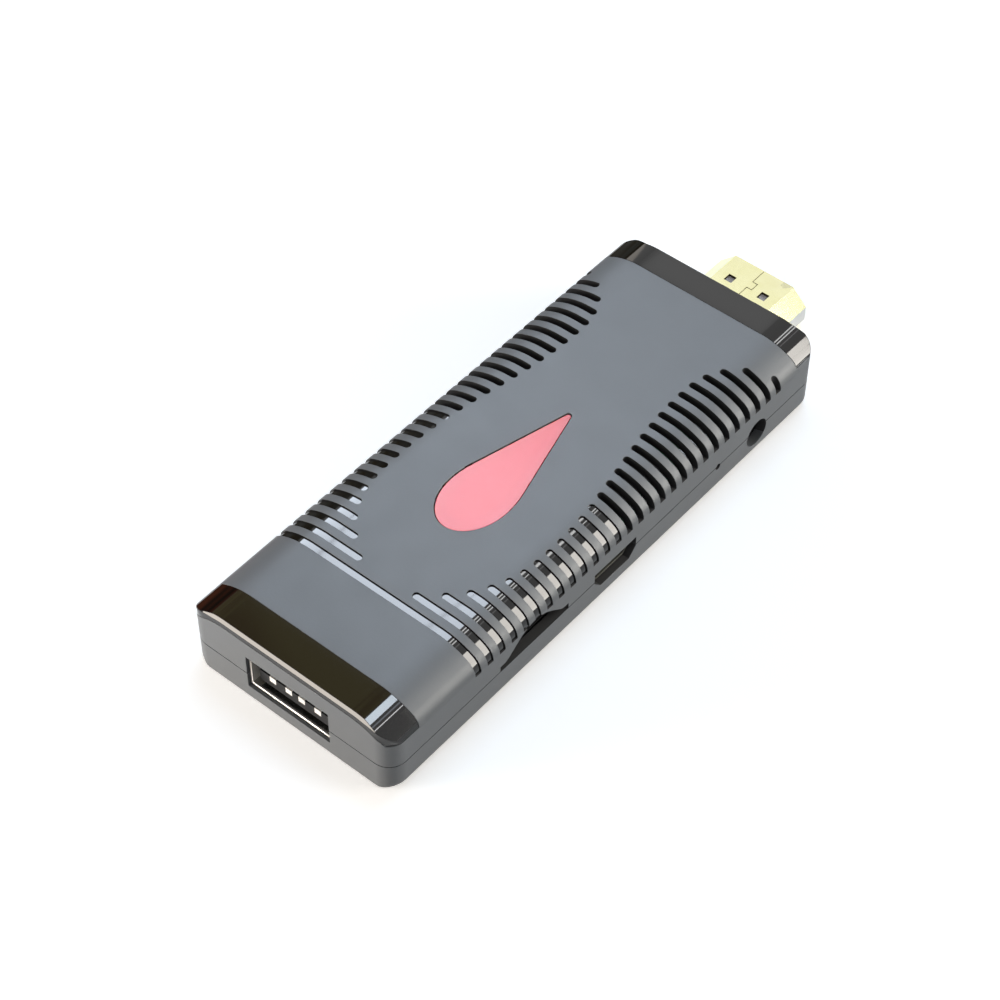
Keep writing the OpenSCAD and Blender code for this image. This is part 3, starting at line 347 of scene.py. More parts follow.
class Workshop:
    """Dresses CAD nodes and settles new pieces on their bodies."""

    def __init__(self, nodes: dict[str, Object]) -> None:
        """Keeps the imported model's nodes at hand, by name."""
        self.nodes = nodes
        self.dressed: list[str] = []

    def paint(self, finish: Finish, *names: str) -> None:
        """Gives CAD nodes that keep their shape a finish.

        Args:
            finish: The finish that they get.
            names: The nodes.
        """
        for name in names:
            mesh = self.nodes[name].data
            mesh.materials.clear()
            mesh.materials.append(finish.material())
            self.dressed.append(name)
            LOG.info("%s keeps its shape, in %s", name, finish.name)

    def refine(self, name: str, slot: Slot, finish: Finish, easing: Easing,
               regions: tuple[Region, ...] = ()) -> None:
        """Stands a smooth copy with rounded edges in for a CAD node.

        Args:
            name: The node.
            slot: The record's material slot.
            finish: The finish of all faces that no region holds.
            easing: How its edges are rounded.
            regions: Parts with another finish.
        """
        work = bmesh.new()
        work.from_mesh(self.nodes[name].data)
        bmesh.ops.remove_doubles(work, verts=work.verts, dist=MERGE_MM * MM)
        work.normal_update()
        for face in work.faces:
            held = [number for number, region in enumerate(regions, 1) if region.holds(face)]
            face.material_index = held[0] if held else 0
        bmesh.ops.dissolve_limit(work, angle_limit=math.radians(FLAT_ANGLE), verts=work.verts,
                                 edges=work.edges, delimit={"MATERIAL"})
        bmesh.ops.recalc_face_normals(work, faces=work.faces)
        weight = work.edges.layers.float.new("bevel_weight_edge")
        for face in work.faces:
            face.smooth = True
        for edge in work.edges:
            turn = math.degrees(edge.calc_face_angle_signed(0.0)) if edge.is_manifold else 0.0
            edge.smooth = abs(turn) < SHARP_ANGLE
            if turn > easing.least_angle:
                middle = (edge.verts[0].co + edge.verts[1].co) / 2
                edge[weight] = easing.at(middle) / easing.largest_mm if easing.at else 1.0
        piece = mesh_object(f"{name}_fine", work)
        for used in (finish, *(region.finish for region in regions)):
            piece.data.materials.append(used.material())
        bevel = piece.modifiers.new("Rounded edges", "BEVEL")
        bevel.limit_method = "WEIGHT"
        bevel.width = easing.largest_mm * MM
        bevel.segments = easing.segments
        bevel.use_clamp_overlap = False
        self.even_shading(piece)
        self.settle(piece, slot, name)

    def even_shading(self, piece: Object) -> None:
        """Lets a piece's large faces lead its shading."""
        weighted = piece.modifiers.new("Even shading", "WEIGHTED_NORMAL")
        weighted.keep_sharp = True

    def settle(self, piece: Object, slot: Slot, *stands_for: str) -> None:
        """Makes a piece a plain mesh and lets it ride on the housing.

        Args:
            piece: The piece, with modifiers or none.
            slot: The record's material slot; not used.
            stands_for: The CAD nodes that it replaces.
        """
        if piece.modifiers:
            graph = bpy.context.evaluated_depsgraph_get()
            plain = bpy.data.meshes.new_from_object(piece.evaluated_get(graph), depsgraph=graph)
            piece.modifiers.clear()
            piece.data = plain
        for name in stands_for:
            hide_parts(name)
            self.dressed.append(name)
        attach(piece, HOUSING)
        LOG.info("%s rides on the %s, with %d faces", piece.name, HOUSING, len(piece.data.polygons))


@dataclass
class Housing:
    """The covers, gloss trims and drop inlay, with the sizes that shape the slotted shoulders, in mm."""

    shop: Workshop
    length: float = 81.2
    width: float = 31.2
    height: float = 11.2
    parting_z: float = 4.4
    corner_r: float = 2.5
    wall: float = 1.3
    foot_z: float = 2.6
    card_y: float = -15.5
    card_slot_w: float = 12.4
    shoulder_w: float = 5.9
    shoulder_drop: float = 3.3
    shoulder_low_r: float = 2.3
    slot_pitch: float = 2.14
    slot_w: float = 1.0
    slot_start: float = 15.0
    last_slot: int = 27
    closed_grooves: int = 13
    groove_low_z: float = 7.8
    groove_d: float = 0.25
    field_wide: float = 11.5
    field_narrow: float = 7.95
    field_near: float = 4.0
    bulge_share: float = 0.315
    waist_share: float = 0.815
    bulge_power: float = 3.0
    near_trim_l: float = 4.9
    far_trim_l: float = 4.4
    near_trim_low_z: float = 8.54
    far_trim_low_z: float = 9.04
    trim_t: float = 0.95
    lip_w: float = 0.35
    lip_end_w: float = 0.06
    lip_fade_x: float = 11.6
    lip_fade_w: float = 1.8
    edge_r: float = 0.04
    drop_edge_r: float = 0.05
    slack: float = 0.02
    lining_top: float = 0.03
    lining_slack: float = 0.05
    card_slack: float = 0.1
    parting_band: float = 0.35
    trim_soft: float = 0.04
    trim_steps: int = 40
    trim_sharp: float = 12.0
    strip_inset: float = 0.02
    strip_t: float = 0.03
    strip_steps: int = 60
    strip_end_steps: int = 8
    strip_least_step: float = 0.05
    strip_sharp: float = 30.0

    @property
    def flat_half(self) -> float:
        """Half the width of the flat roof."""
        return self.width / 2 - self.shoulder_w

    @property
    def shoulder_r(self) -> float:
        """Radius of the shoulder's wide arc, which runs into the narrow arc above the side."""
        w, d, r = self.shoulder_w, self.shoulder_drop, self.shoulder_low_r
        return (w * w + d * d - 2 * w * r) / (2 * (d - r))

    @property
    def meet_turn(self) -> float:
        """Turn from the roof at which the shoulder's two arcs meet, in radians."""
        return math.asin((self.shoulder_w - self.shoulder_low_r) / (self.shoulder_r - self.shoulder_low_r))

    def slot_y(self, i: int) -> float:
        """Place of a slot along the housing."""
        return -self.length / 2 + self.slot_start + i * self.slot_pitch

    def field_edge(self, i: int) -> float:
        """Finds where a closed groove ends beside the plain field.

        Args:
            i: The groove's number from the near end.

        Returns:
            Its inner end's distance from the middle line.
        """
        bulge, waist = self.last_slot * self.bulge_share, self.last_slot * self.waist_share
        if i < bulge:
            lack = ((bulge - i) / (bulge - 1)) ** self.bulge_power
            return self.field_wide - (self.field_wide - self.field_near) * lack
        turn = math.cos(math.pi * (i - bulge) / (waist - bulge))
        return (self.field_wide + self.field_narrow) / 2 + (self.field_wide - self.field_narrow) / 2 * turn

    def shoulder_point(self, turn: float, depth: float) -> Vector:
        """Finds a point of the right shoulder.

        Args:
            turn: Angle of the surface's normal from straight up, in radians.
            depth: How far the point lies inside the outer form.

        Returns:
            The point in the plane across the housing, with y left at 0.
        """
        if turn < self.meet_turn:
            radius, x, z = self.shoulder_r, self.flat_half, self.height - self.shoulder_r
        else:
            radius = self.shoulder_low_r
            x, z = self.width / 2 - radius, self.height - self.shoulder_drop
        reach = radius - depth
        return Vector((x + reach * math.sin(turn), 0, z + reach * math.cos(turn)))

    def inside_form(self, co: Vector) -> float:
        """Tells how deep a point of the roof or a shoulder lies in the outer form.

        Args:
            co: A point in metres.

        Returns:
            The depth in mm, measured square to the surface.
        """
        x, z = abs(co.x) / MM, co.z / MM
        meet_x = self.flat_half + self.shoulder_r * math.sin(self.meet_turn)
        if x <= self.flat_half:
            return self.height - z
        if x <= meet_x:
            return self.shoulder_r - math.hypot(x - self.flat_half, z - self.height + self.shoulder_r)
        low_x, low_z = self.width / 2 - self.shoulder_low_r, self.height - self.shoulder_drop
        return self.shoulder_low_r - math.hypot(x - low_x, max(0.0, z - low_z))

    def in_slots(self, face: BMFace, first: int, last: int, deepest: float) -> bool:
        """Tells whether a face of the upper cover lines one of some slots, its lit lower end left out.

        Args:
            face: The face.
            first: Number of the first slot, counted from the near end.
            last: Number of the last slot.
            deepest: How deep in the outer form the lining reaches, in mm.

        Returns:
            True for the slot's walls and floor.
        """
        co = face.calc_center_median()
        number = round((co.y / MM - self.slot_y(0)) / self.slot_pitch)
        if not first <= number <= last or co.z / MM < self.groove_low_z + self.slack:
            return False
        near = abs(co.y / MM - self.slot_y(number)) < self.slot_w / 2 + self.slack
        return near and self.lining_top < self.inside_form(co) < deepest

    def in_closed_groove(self, face: BMFace) -> bool:
        """Tells whether a face lines one of the closed grooves."""
        return self.in_slots(face, 0, self.closed_grooves - 1, self.groove_d + self.lining_slack)

    def in_vent(self, face: BMFace) -> bool:
        """Tells whether a face is a wall of one of the open vents."""
        upright = abs(face.normal.z) < FACING
        return upright and self.in_slots(face, self.closed_grooves, self.last_slot, self.height)

    def in_side_opening(self, face: BMFace) -> bool:
        """Tells whether a face is a wall of an opening in the right side.

        Args:
            face: A face of a cover.

        Returns:
            True for the openings' walls, and False in the rest of the parting gap.
        """
        co = face.calc_center_median() / MM
        along = abs(co.y) < self.length / 2 - self.corner_r
        beside_card = abs(co.y - self.card_y) < self.card_slot_w / 2 + self.card_slack
        if not along or abs(face.normal.x) > LEANING or (self.in_parting(face) and not beside_card):
            return False
        in_wall = self.slack < self.width / 2 - co.x < self.wall + self.slack
        return in_wall and self.foot_z < co.z < self.groove_low_z

    def at_parting(self, co: Vector) -> bool:
        """Tells whether a point is as high as the parting line."""
        return abs(co.z / MM - self.parting_z) < self.parting_band

    def in_parting(self, face: BMFace) -> bool:
        """Tells whether a face lies in the narrow gap between the two covers."""
        return self.at_parting(face.calc_center_median()) and abs(face.normal.z) > FACING

    def cover_edge(self, co: Vector) -> float:
        """Gives the rounding of an edge of a cover: small, and none at the parting line."""
        return 0.0 if self.at_parting(co) else self.edge_r

    def build(self) -> None:
        """Dresses the covers and trims, lines the grooves and pours the enamel."""
        easing = Easing(self.edge_r, self.cover_edge, segments=2)
        # The vents' walls, the side openings' walls and the parting gap get dull black as painted shade.
        slots = (Region(PIANO_ABS, self.in_closed_groove), Region(PAINTED_SHADE_ABS, self.in_vent))
        openings = (Region(PAINTED_SHADE_ABS, self.in_side_opening), Region(PAINTED_SHADE_ABS, self.in_parting))
        self.shop.refine("top_cover", Slot.COVER, MATT_ABS, easing, slots + openings)
        self.shop.refine("bottom_cover", Slot.COVER, MATT_ABS, easing, openings)
        self.trim("near_trim", -1, self.near_trim_l, self.near_trim_low_z)
        self.trim("far_trim", 1, self.far_trim_l, self.far_trim_low_z)
        self.groove_floors()
        self.shop.refine("drop_inlay", Slot.ENAMEL, CORAL_ENAMEL, Easing(self.drop_edge_r))

    def end_y(self, x: float) -> float:
        """Finds how far the plan reaches along the housing at a distance from its middle line."""
        aside = max(0.0, abs(x) - self.width / 2 + self.corner_r)
        return self.length / 2 - self.corner_r + math.sqrt(max(0.0, self.corner_r ** 2 - aside ** 2))

    def trim_section(self, reach: float, lip: float) -> list[tuple[float, float]]:
        """Draws a trim's section: a flat lip over the end, and small roundings at its sharp edges.

        Args:
            reach: The trim's length along the housing.
            lip: Width of the lip's flat.

        Returns:
            Pairs of the distance from the end face and the depth below the outer form, round the section.
        """
        soft = self.trim_soft
        return [(reach, self.trim_t), (reach, 1.5 * soft), (reach - 0.4 * soft, 0.4 * soft),
                (reach - 1.5 * soft, 0), (lip + soft, 0), (lip - 0.3 * soft, 0.5 * soft),
                (0.5 * soft, lip - 0.3 * soft), (0, lip + soft), (0, self.trim_t)]

    def trim(self, name: str, end: int, length: float, low_z: float) -> None:
        """Moulds a gloss trim over one end, with its lip narrowing round the corners.

        Args:
            name: The CAD node that it replaces.
            end: -1 for the near end, 1 for the far one.
            length: How far it reaches from the end face.
            low_z: Height of its lower ends.
        """
        last = math.acos((low_z - self.height + self.shoulder_drop) / self.shoulder_low_r)
        work = bmesh.new()
        rings = []
        for turn in (last * i / self.trim_steps for i in range(-self.trim_steps, self.trim_steps + 1)):
            side = -1 if turn < 0 else 1
            outer = self.shoulder_point(abs(turn), 0)
            fade = min(1.0, max(0.0, (outer.x - self.lip_fade_x) / self.lip_fade_w))
            lip = self.lip_w + (self.lip_end_w - self.lip_w) * fade
            ring = []
            for inset, depth in self.trim_section(length - self.length / 2 + self.end_y(outer.x), lip):
                point = self.shoulder_point(abs(turn), depth)
                y = end * (self.end_y(point.x) - inset)
                ring.append(work.verts.new((side * point.x * MM, y * MM, max(point.z, low_z) * MM)))
            rings.append(ring)
        loft(work, rings)
        shade_smooth(work, self.trim_sharp)
        piece = mesh_object(f"{name}_moulding", work)
        piece.data.materials.append(PIANO_ABS.material())
        self.shop.even_shading(piece)
        self.shop.settle(piece, Slot.TRIM, name)

    def groove_lines(self) -> BMesh:
        """Draws the middle line of each closed groove's floor.

        Returns:
            Edges along the floors, with the share of the full width at each point.
        """
        lines = bmesh.new()
        share = lines.verts.layers.float.new("share")
        depth = self.groove_d - self.strip_inset
        low_z = self.height - self.shoulder_drop
        last_turn = math.acos((self.groove_low_z - low_z) / (self.shoulder_low_r - depth))
        turns = [last_turn * (i / self.strip_steps) for i in range(self.strip_steps + 1)]
        half, steps = self.slot_w / 2, self.strip_end_steps
        rounding = [half * (1 - math.cos(math.pi / 2 * i / steps)) for i in range(1, steps + 1)]
        for number in range(self.closed_grooves):
            y = self.slot_y(number)
            start, ease = (self.field_edge(number), rounding) if number else (0.0, [])
            flat = [start + e for e in ease] or [0.0]
            track = [(x, self.height - depth) for x in flat if x < self.flat_half]
            widths = [math.sin(math.acos(max(0.0, 1 - e / half))) for e in ease][:len(track)] or [1.0]
            for turn in turns:
                point = self.shoulder_point(turn, depth)
                if point.x > (flat[-1] if track else start) + self.strip_least_step:
                    track.append((point.x, point.z))
                    widths.append(1.0)
            for side in (-1, 1):
                before = None
                for (x, z), w in zip(track, widths):
                    vert = lines.verts.new((side * x * MM, y * MM, z * MM))
                    vert[share] = w
                    if before:
                        lines.edges.new((before, vert))
                    before = vert
        return lines

    def groove_floors(self) -> None:
        """Lays a polished strip along each closed groove's floor, swept by Geometry Nodes."""
        tree = bpy.data.node_groups.new("Polished groove floors", "GeometryNodeTree")
        sockets = {}
        for name, kind in (("Lines", "NodeSocketGeometry"), ("Strip width", "NodeSocketFloat"),
                           ("Strip thickness", "NodeSocketFloat")):
            sockets[name] = tree.interface.new_socket(name, in_out="INPUT", socket_type=kind).identifier
        tree.interface.new_socket("Strips", in_out="OUTPUT", socket_type="NodeSocketGeometry")
        sizes = add_node(tree, "NodeGroupInput").outputs
        share = add_node(tree, "GeometryNodeInputNamedAttribute", {"Name": "share"}, data_type="FLOAT")
        curves = add_node(tree, "GeometryNodeMeshToCurve", {"Mesh": sizes["Lines"]})
        level = add_node(tree, "GeometryNodeSetCurveNormal", {"Curve": curves}, mode="Z_UP")
        taper = add_node(tree, "GeometryNodeSetCurveRadius", {"Curve": level, "Radius": share})
        section = add_node(tree, "GeometryNodeCurvePrimitiveQuadrilateral", {
            "Width": sizes["Strip width"], "Height": sizes["Strip thickness"]})
        swept = add_node(tree, "GeometryNodeCurveToMesh", {
            "Curve": taper, "Profile Curve": section, "Fill Caps": True})
        real = add_node(tree, "GeometryNodeRealizeInstances", {"Geometry": swept})
        dressed = add_node(tree, "GeometryNodeSetMaterial", {
            "Geometry": real, "Material": PIANO_ABS.material()})
        add_node(tree, "NodeGroupOutput", {0: dressed})
        piece = mesh_object("groove_floor_strips", self.groove_lines())
        sweep = piece.modifiers.new("Polished floors", "NODES")
        sweep.node_group = tree
        sweep[sockets["Strip width"]] = (self.slot_w - self.strip_inset) * MM
        sweep[sockets["Strip thickness"]] = self.strip_t * MM
        self.shop.settle(piece, Slot.TRIM)
        work = bmesh.new()
        work.from_mesh(piece.data)
        shade_smooth(work, self.strip_sharp)
        work.to_mesh(piece.data)
        work.free()


@dataclass
class PicturePlug:
    """The gold plug at the far end, with its insulator and contacts."""

    shop: Workshop
    edge_mm: float = 0.07
    top_z: float = 5.38
    sheet: float = 0.35
    slack: float = 0.02
    mouth_y: float = 50.9
    seam_half_w: float = 4.0
    upright_share: float = 0.7
    low_flank_z: float = 4.0
    window_x: float = 2.65
    window_y: float = 47.0
    leaf_w: float = 0.96
    leaf_l: float = 1.06
    leaf_top_z: float = 5.2
    leaf_t: float = 0.12
    leaf_bow_share: float = 0.5
    leaf_steps: int = 6

    def edge(self, co: Vector) -> float:
        """Gives the rounding of the shell's edges: none along the seam and the folds of its top."""
        return 0.0 if co.z / MM > self.top_z - self.sheet else self.edge_mm

    def in_seam(self, face: BMFace) -> bool:
        """Tells whether a face lies in the seam of the shell's top or in a latch window's edge.

        Args:
            face: A face of the shell.

        Returns:
            True for upright faces in the thickness of the top sheet, behind the mouth.
        """
        co = face.calc_center_median() / MM
        in_sheet = self.top_z - self.sheet - self.slack < co.z < self.top_z - self.slack
        upright = abs(face.normal.y) + abs(face.normal.x) > self.upright_share
        return in_sheet and upright and co.y < self.mouth_y and abs(co.x) < self.seam_half_w

    def in_flank(self, face: BMFace) -> bool:
        """Tells whether a face belongs to the shell's upright sides, where the gold is worn to nickel."""
        co = face.calc_center_median() / MM
        return abs(face.normal.x) > FACING and co.z < self.low_flank_z

    def build(self) -> None:
        """Rounds the shell's sheet edges and dresses what it holds."""
        # The seam and the latch windows' edges get dark olive, partly bare cut edge and partly painted shade.
        self.shop.refine("plug_shell", Slot.GOLD, FLASH_GOLD, Easing(self.edge_mm, self.edge),
                         (Region(BARE_EDGE_AND_SEAM_SHADE, self.in_seam), Region(NICKEL_STRIP, self.in_flank)))
        self.shop.paint(GLASS_NYLON, "plug_insulator")
        self.shop.paint(SPRING_GOLD, "plug_contacts")
        self.latch_leaves()

    def latch_leaves(self) -> None:
        """Sets a bowed steel leaf a little way down in each latch window of the shell's top."""
        work = bmesh.new()
        for side in (-1, 1):
            rings = []
            for i in range(self.leaf_steps + 1):
                share = 2 * i / self.leaf_steps - 1
                top = self.leaf_top_z - self.leaf_bow_share * self.leaf_t * share * share
                y = self.window_y + self.leaf_l / 2 * share
                ring = [(-1, top), (1, top), (1, top - self.leaf_t), (-1, top - self.leaf_t)]
                rings.append([work.verts.new(Vector((side * self.window_x + x * self.leaf_w / 2, y, z)) * MM)
                              for x, z in ring])
            loft(work, rings)
        bmesh.ops.recalc_face_normals(work, faces=work.faces)
        piece = mesh_object("latch_leaves", work)
        piece.data.materials.append(TEMPERED_STEEL.material())
        self.shop.settle(piece, Slot.NICKEL)


@dataclass
class HostPort:
    """The port in the near end."""

    shop: Workshop
    edge_mm: float = 0.06
    lip_mm: float = 0.16
    mouth_y: float = -39.8
    half_w: float = 5.0

    def edge(self, co: Vector) -> float:
        """Gives the rounding of the shell's edges: wider where its mouth is rolled."""
        return self.lip_mm if co.y / MM < self.mouth_y else self.edge_mm

    def gets_painted_highlight(self, face: BMFace) -> bool:
        """Tells whether a face is the mouth's rim or the left inner wall, which get a painted highlight."""
        left_wall = face.normal.x > FACING and face.calc_center_median().x / MM < -self.half_w
        return left_wall or face.normal.y < -LEANING

    def build(self) -> None:
        """Rounds the shell's lips and dresses the tongue and its contacts."""
        # The mouth's rim and the left inner wall take a paler nickel as a painted highlight.
        self.shop.refine("usb_shell", Slot.NICKEL, NICKEL_STRIP, Easing(self.lip_mm, self.edge),
                         (Region(NICKEL_PAINTED_HIGHLIGHT, self.gets_painted_highlight),))
        self.shop.paint(GLASS_NYLON, "usb_tongue")
        # The contacts' near-white, partly diffuse tin stands in for their glint as a painted highlight.
        self.shop.paint(TIN_WITH_PAINTED_GLINT, "usb_contacts")


@dataclass
class SidePorts:
    """The power port, card socket, reset button and sound jack in the right side."""

    shop: Workshop
    edge_mm: float = 0.05

    def build(self) -> None:
        """Dresses each socket and its moving pieces."""
        # The power port's shell is darkened as painted shade inside the port.
        self.shop.refine("power_port_shell", Slot.NICKEL, NICKEL_DARKENED_AS_SHADE, Easing(self.edge_mm))
        self.shop.paint(GLASS_NYLON, "power_port_tongue", "card_socket_base", "jack_body",
                        "reset_switch_body", "reset_button")
        self.shop.paint(SPRING_GOLD, "power_port_contacts", "card_contacts", "jack_contacts")
        self.shop.paint(TINNED_STEEL, "card_socket_cover", "card_spring", "reset_switch_cover")
        self.shop.paint(ACETAL, "card_slider")


@dataclass
class Board:
    """The board and the pieces on it, which show only through the vents."""

    shop: Workshop

    def build(self) -> None:
        """Dresses the board, its chips, cooler, radio and small parts."""
        self.shop.paint(SOLDER_MASK, "main_board", "wireless_board")
        self.shop.paint(CHIP_EPOXY, "processor", "memory_chips", "flash_chip")
        self.shop.paint(BLACK_ANODISED, "heat_sink")
        self.shop.paint(SILICONE_PAD, "thermal_pad")
        self.shop.paint(TINNED_STEEL, "wireless_shield", "antenna", "clock_crystal")
        self.shop.paint(ZINC_STEEL, "board_screws")
        self.shop.paint(FERRITE, "power_coils")
        self.shop.paint(CERAMIC, "board_capacitors")
        self.shop.paint(CLEAR_EPOXY, "status_light")


@dataclass(frozen=True)
class Lamp:
    """A rectangular lamp, with the radiance of its face, where 1 is white."""

    name: str
    radiance: float
    tint: str


@dataclass(frozen=True)
class PlacedLamp(Lamp):
    """A lamp told by its place; mirrored says whether polished parts alone show it, or all others do."""

    direction: Point
    distance_mm: float
    size_mm: tuple[float, float]
    along: Point = (0.0, 1.0, 0.01)
    mirrored: bool = False


@dataclass(frozen=True)
class Panel(Lamp):
    """A lamp that polished parts alone show, told by its mirror image.

    The image fills a range along the housing, in mm. Across, it fills a range of turns of one shoulder's
    surface from straight up, in degrees, or the flat roof with a lap at each side.
    """

    y: tuple[float, float]
    turns: tuple[float, float] | None = None
    side: int = 1
    lap_mm: float = 0.0
    mirrored: bool = True


# Ranges along the housing that the panels' images fill.
GROOVES_Y = (-30, 12)
STRIPES_Y = (-30, 44)
SHOULDER_Y = (-34, 41)
FAR_TRIM_Y = (35.8, 41)
NEAR_TRIM_Y = (-42, -35)
NEAR_STRIPES_Y = (-42, -34)
BRIGHT = 15.0
SOFT_LAMPS = (
    PlacedLamp("Key lamp", 3.1, "#B8DCFF", (-0.14, 0.4, 0.9), 900, (500, 500)),
    PlacedLamp("Front lamp", 112, "#FFF4E9", (-0.56, -0.82, 0.069), 232, (28, 100)),
    PlacedLamp("Right lamp", 10, WARM_WHITE, (0.8, 0.55, 0.12), 800, (450, 450)),
)
PANELS = (
    Panel("Roof panel", BRIGHT, SKY, GROOVES_Y, lap_mm=1),
    Panel("Left roof panel", BRIGHT, SKY, GROOVES_Y, (0, 11.3), -1),
    Panel("Right roof panel", BRIGHT, SKY, GROOVES_Y, (0, 10.4)),
    Panel("Far trim panel", 0.7, WHITE, FAR_TRIM_Y),
    Panel("Far trim left panel", 1.5, "#FFF0E0", FAR_TRIM_Y, (0, 30), -1),
    Panel("Near trim panel", 17, "#E6F3FF", NEAR_TRIM_Y, (11.7, 17.4)),
    Panel("Stripe 1", 12, WHITE, STRIPES_Y, (11.95, 12.85)),
    Panel("Stripe 2", 12, WHITE, STRIPES_Y, (14.25, 15.05)),
    Panel("Stripe 3", 2, WHITE, STRIPES_Y, (17.5, 18.1)),
    Panel("Near stripe 1", 3, SKY, NEAR_STRIPES_Y, (19.2, 20.2)),
    Panel("Near stripe 2", 16, WHITE, NEAR_STRIPES_Y, (22.2, 22.8)),
    *(Panel(f"Shoulder panel {number}", BRIGHT, WARM_WHITE, SHOULDER_Y, turns)
      for number, turns in enumerate(((25.3, 33), (33, 41), (41, 49), (49, 57)), 1)),
)
LIP_PANEL = PlacedLamp("Lip panel", BRIGHT, "#FFF4E8", (-0.3, -0.875, 0.379), 299.89, (290, 50),
                       (-0.0496, 0.4111, 0.9098), mirrored=True)


@dataclass
class Studio:
    """Camera, pale floor and soft light, with the camera's place in mm and degrees."""

    housing: Housing
    focal_px: float = 2575.436
    azimuth: float = 39.7818
    elevation: float = 48.6019
    roll: float = 0.24086
    aside_mm: float = -2.04185
    raised_mm: float = 2.72257
    distance_mm: float = 317.0048
    sensor_mm: float = 36.0
    picture_px: float = 1000.0
    clip_mm: tuple[float, float] = (5.0, 20000.0)
    floor_r_mm: float = 4000.0
    floor_corners: int = 64
    soft_level: float = 0.35
    floor_glow: float = 0.42
    ceiling_mm: float = 262.0
    reach_mm: float = 300.0
    card_lift_mm: float = 2.0
    card_cloud_mm: float = 30.0
    card_floor_gap_mm: float = 0.4
    brown_card_turns: tuple[tuple[float, int], ...] = (
        (13.5, -1), (9, -1), (4.5, -1), (0, -1), (0, 1), (5, 1), (11, 1))
    brown_card_y: tuple[float, float] = (-42.0, -35.2)
    side_card_near: float = 50.0
    side_card_far: float = 260.0
    side_card_h: float = 160.0
    side_card_y: Point = (-60.0, -33.0, 46.0)

    def axes(self) -> tuple[Vector, Vector, Vector]:
        """Finds the camera's axes.

        Returns:
            Right, up and back.
        """
        az, el, roll = (math.radians(a) for a in (self.azimuth, self.elevation, self.roll))
        back = Vector((math.sin(az) * math.cos(el), -math.cos(az) * math.cos(el), math.sin(el)))
        right = Vector((math.cos(az), math.sin(az), 0))
        up = back.cross(right)
        turned_right = right * math.cos(roll) + up * math.sin(roll)
        return (turned_right, up * math.cos(roll) - right * math.sin(roll), back)

    def place(self) -> Vector:
        """Finds the camera's place in mm."""
        right, up, back = self.axes()
        return back * self.distance_mm + right * self.aside_mm + up * self.raised_mm

    def camera(self) -> None:
        """Sets the camera at the picture's viewpoint."""
        data = bpy.data.cameras.new("Picture camera")
        data.sensor_width = self.sensor_mm
        data.lens = self.focal_px / self.picture_px * self.sensor_mm
        data.clip_start, data.clip_end = (end * MM for end in self.clip_mm)
        camera = add_object("Picture camera", data)
        turned = Matrix(self.axes()).transposed().to_4x4()
        camera.matrix_world = Matrix.Translation(self.place() * MM) @ turned
        bpy.context.scene.camera = camera

    def seen_rays(self, tree: NodeTree) -> Node:
        """Picks the rays that see a surface: straight, mirrored and refracted ones.

        Args:
            tree: The tree of the world or of the floor.

        Returns:
            The node that gives 1 for such rays and 0 for the rest.
        """
        rays = add_node(tree, "ShaderNodeLightPath").outputs
        pair = add_node(tree, "ShaderNodeMath", {0: rays["Is Camera Ray"], 1: rays["Is Glossy Ray"]},
                        operation="MAXIMUM")
        return add_node(tree, "ShaderNodeMath", {0: pair, 1: rays["Is Transmission Ray"]},
                        operation="MAXIMUM")

    def world(self) -> None:
        """Surrounds the object with a plain soft light and a white background."""
        world = bpy.data.worlds.new("Soft studio")
        world.use_nodes = True
        tree = world.node_tree
        tree.nodes.clear()
        white = to_linear(WHITE)
        soft = add_node(tree, "ShaderNodeBackground", {"Strength": self.soft_level, "Color": white})
        plain = add_node(tree, "ShaderNodeBackground", {"Strength": 1.0, "Color": white})
        mix = add_node(tree, "ShaderNodeMixShader", {0: self.seen_rays(tree), 1: soft, 2: plain})
        add_node(tree, "ShaderNodeOutputWorld", {"Surface": mix})
        bpy.context.scene.world = world

    def floor(self) -> None:
        """Lays the pale floor, which shows white and keeps the object's shadow."""
        made = empty_material("pale paper floor")
        tree = made.node_tree
        seen = self.seen_rays(tree)
        glow = add_node(tree, "ShaderNodeMath", {0: seen, 1: self.floor_glow}, operation="MULTIPLY")
        shade = add_node(tree, "ShaderNodeMix", {
            0: seen, 6: to_linear("#969696"), 7: to_linear("#FAFAFA")}, data_type="RGBA")
        shader = add_node(tree, "ShaderNodeBsdfPrincipled", {
            "Base Color": shade.outputs[2], "Roughness": 0.9, "Specular IOR Level": 0.0,
            "Emission Color": to_linear("#FFFCF7"), "Emission Strength": glow})
        add_node(tree, "ShaderNodeOutputMaterial", {"Surface": shader})
        work = bmesh.new()
        bmesh.ops.create_circle(work, cap_ends=True, segments=self.floor_corners, radius=self.floor_r_mm * MM)
        floor = mesh_object("floor", work)
        floor.data.materials.append(made)

    def cards(self) -> None:
        """Hangs a card that the near trim's flat mirrors, and stands two beside the left shoulder."""
        hung, low = self.ceiling_mm + self.card_lift_mm, self.card_floor_gap_mm
        front, back = ([self.mirrored(self.ceiling_x(turn, side), y, hung, side)
                        for turn, side in self.brown_card_turns] for y in self.brown_card_y)
        self.card("brown_card", front, back, ("#C0A878", "#DCCB90"))
        start, change, end = self.side_card_y
        bend = ((-self.side_card_far, self.side_card_h), (-self.side_card_far, low),
                (-self.side_card_near, low))
        front = [(x, start, z) for x, z in bend]
        middle, back = ([self.mirrored(x, y, z, -1) for x, z in bend] for y in (change, end))
        self.card("side_card", front, middle, ("#4A2A1C", "#A85A3C"))
        self.card("far_side_card", middle, back, ("#5E5238", "#8A8A84"))

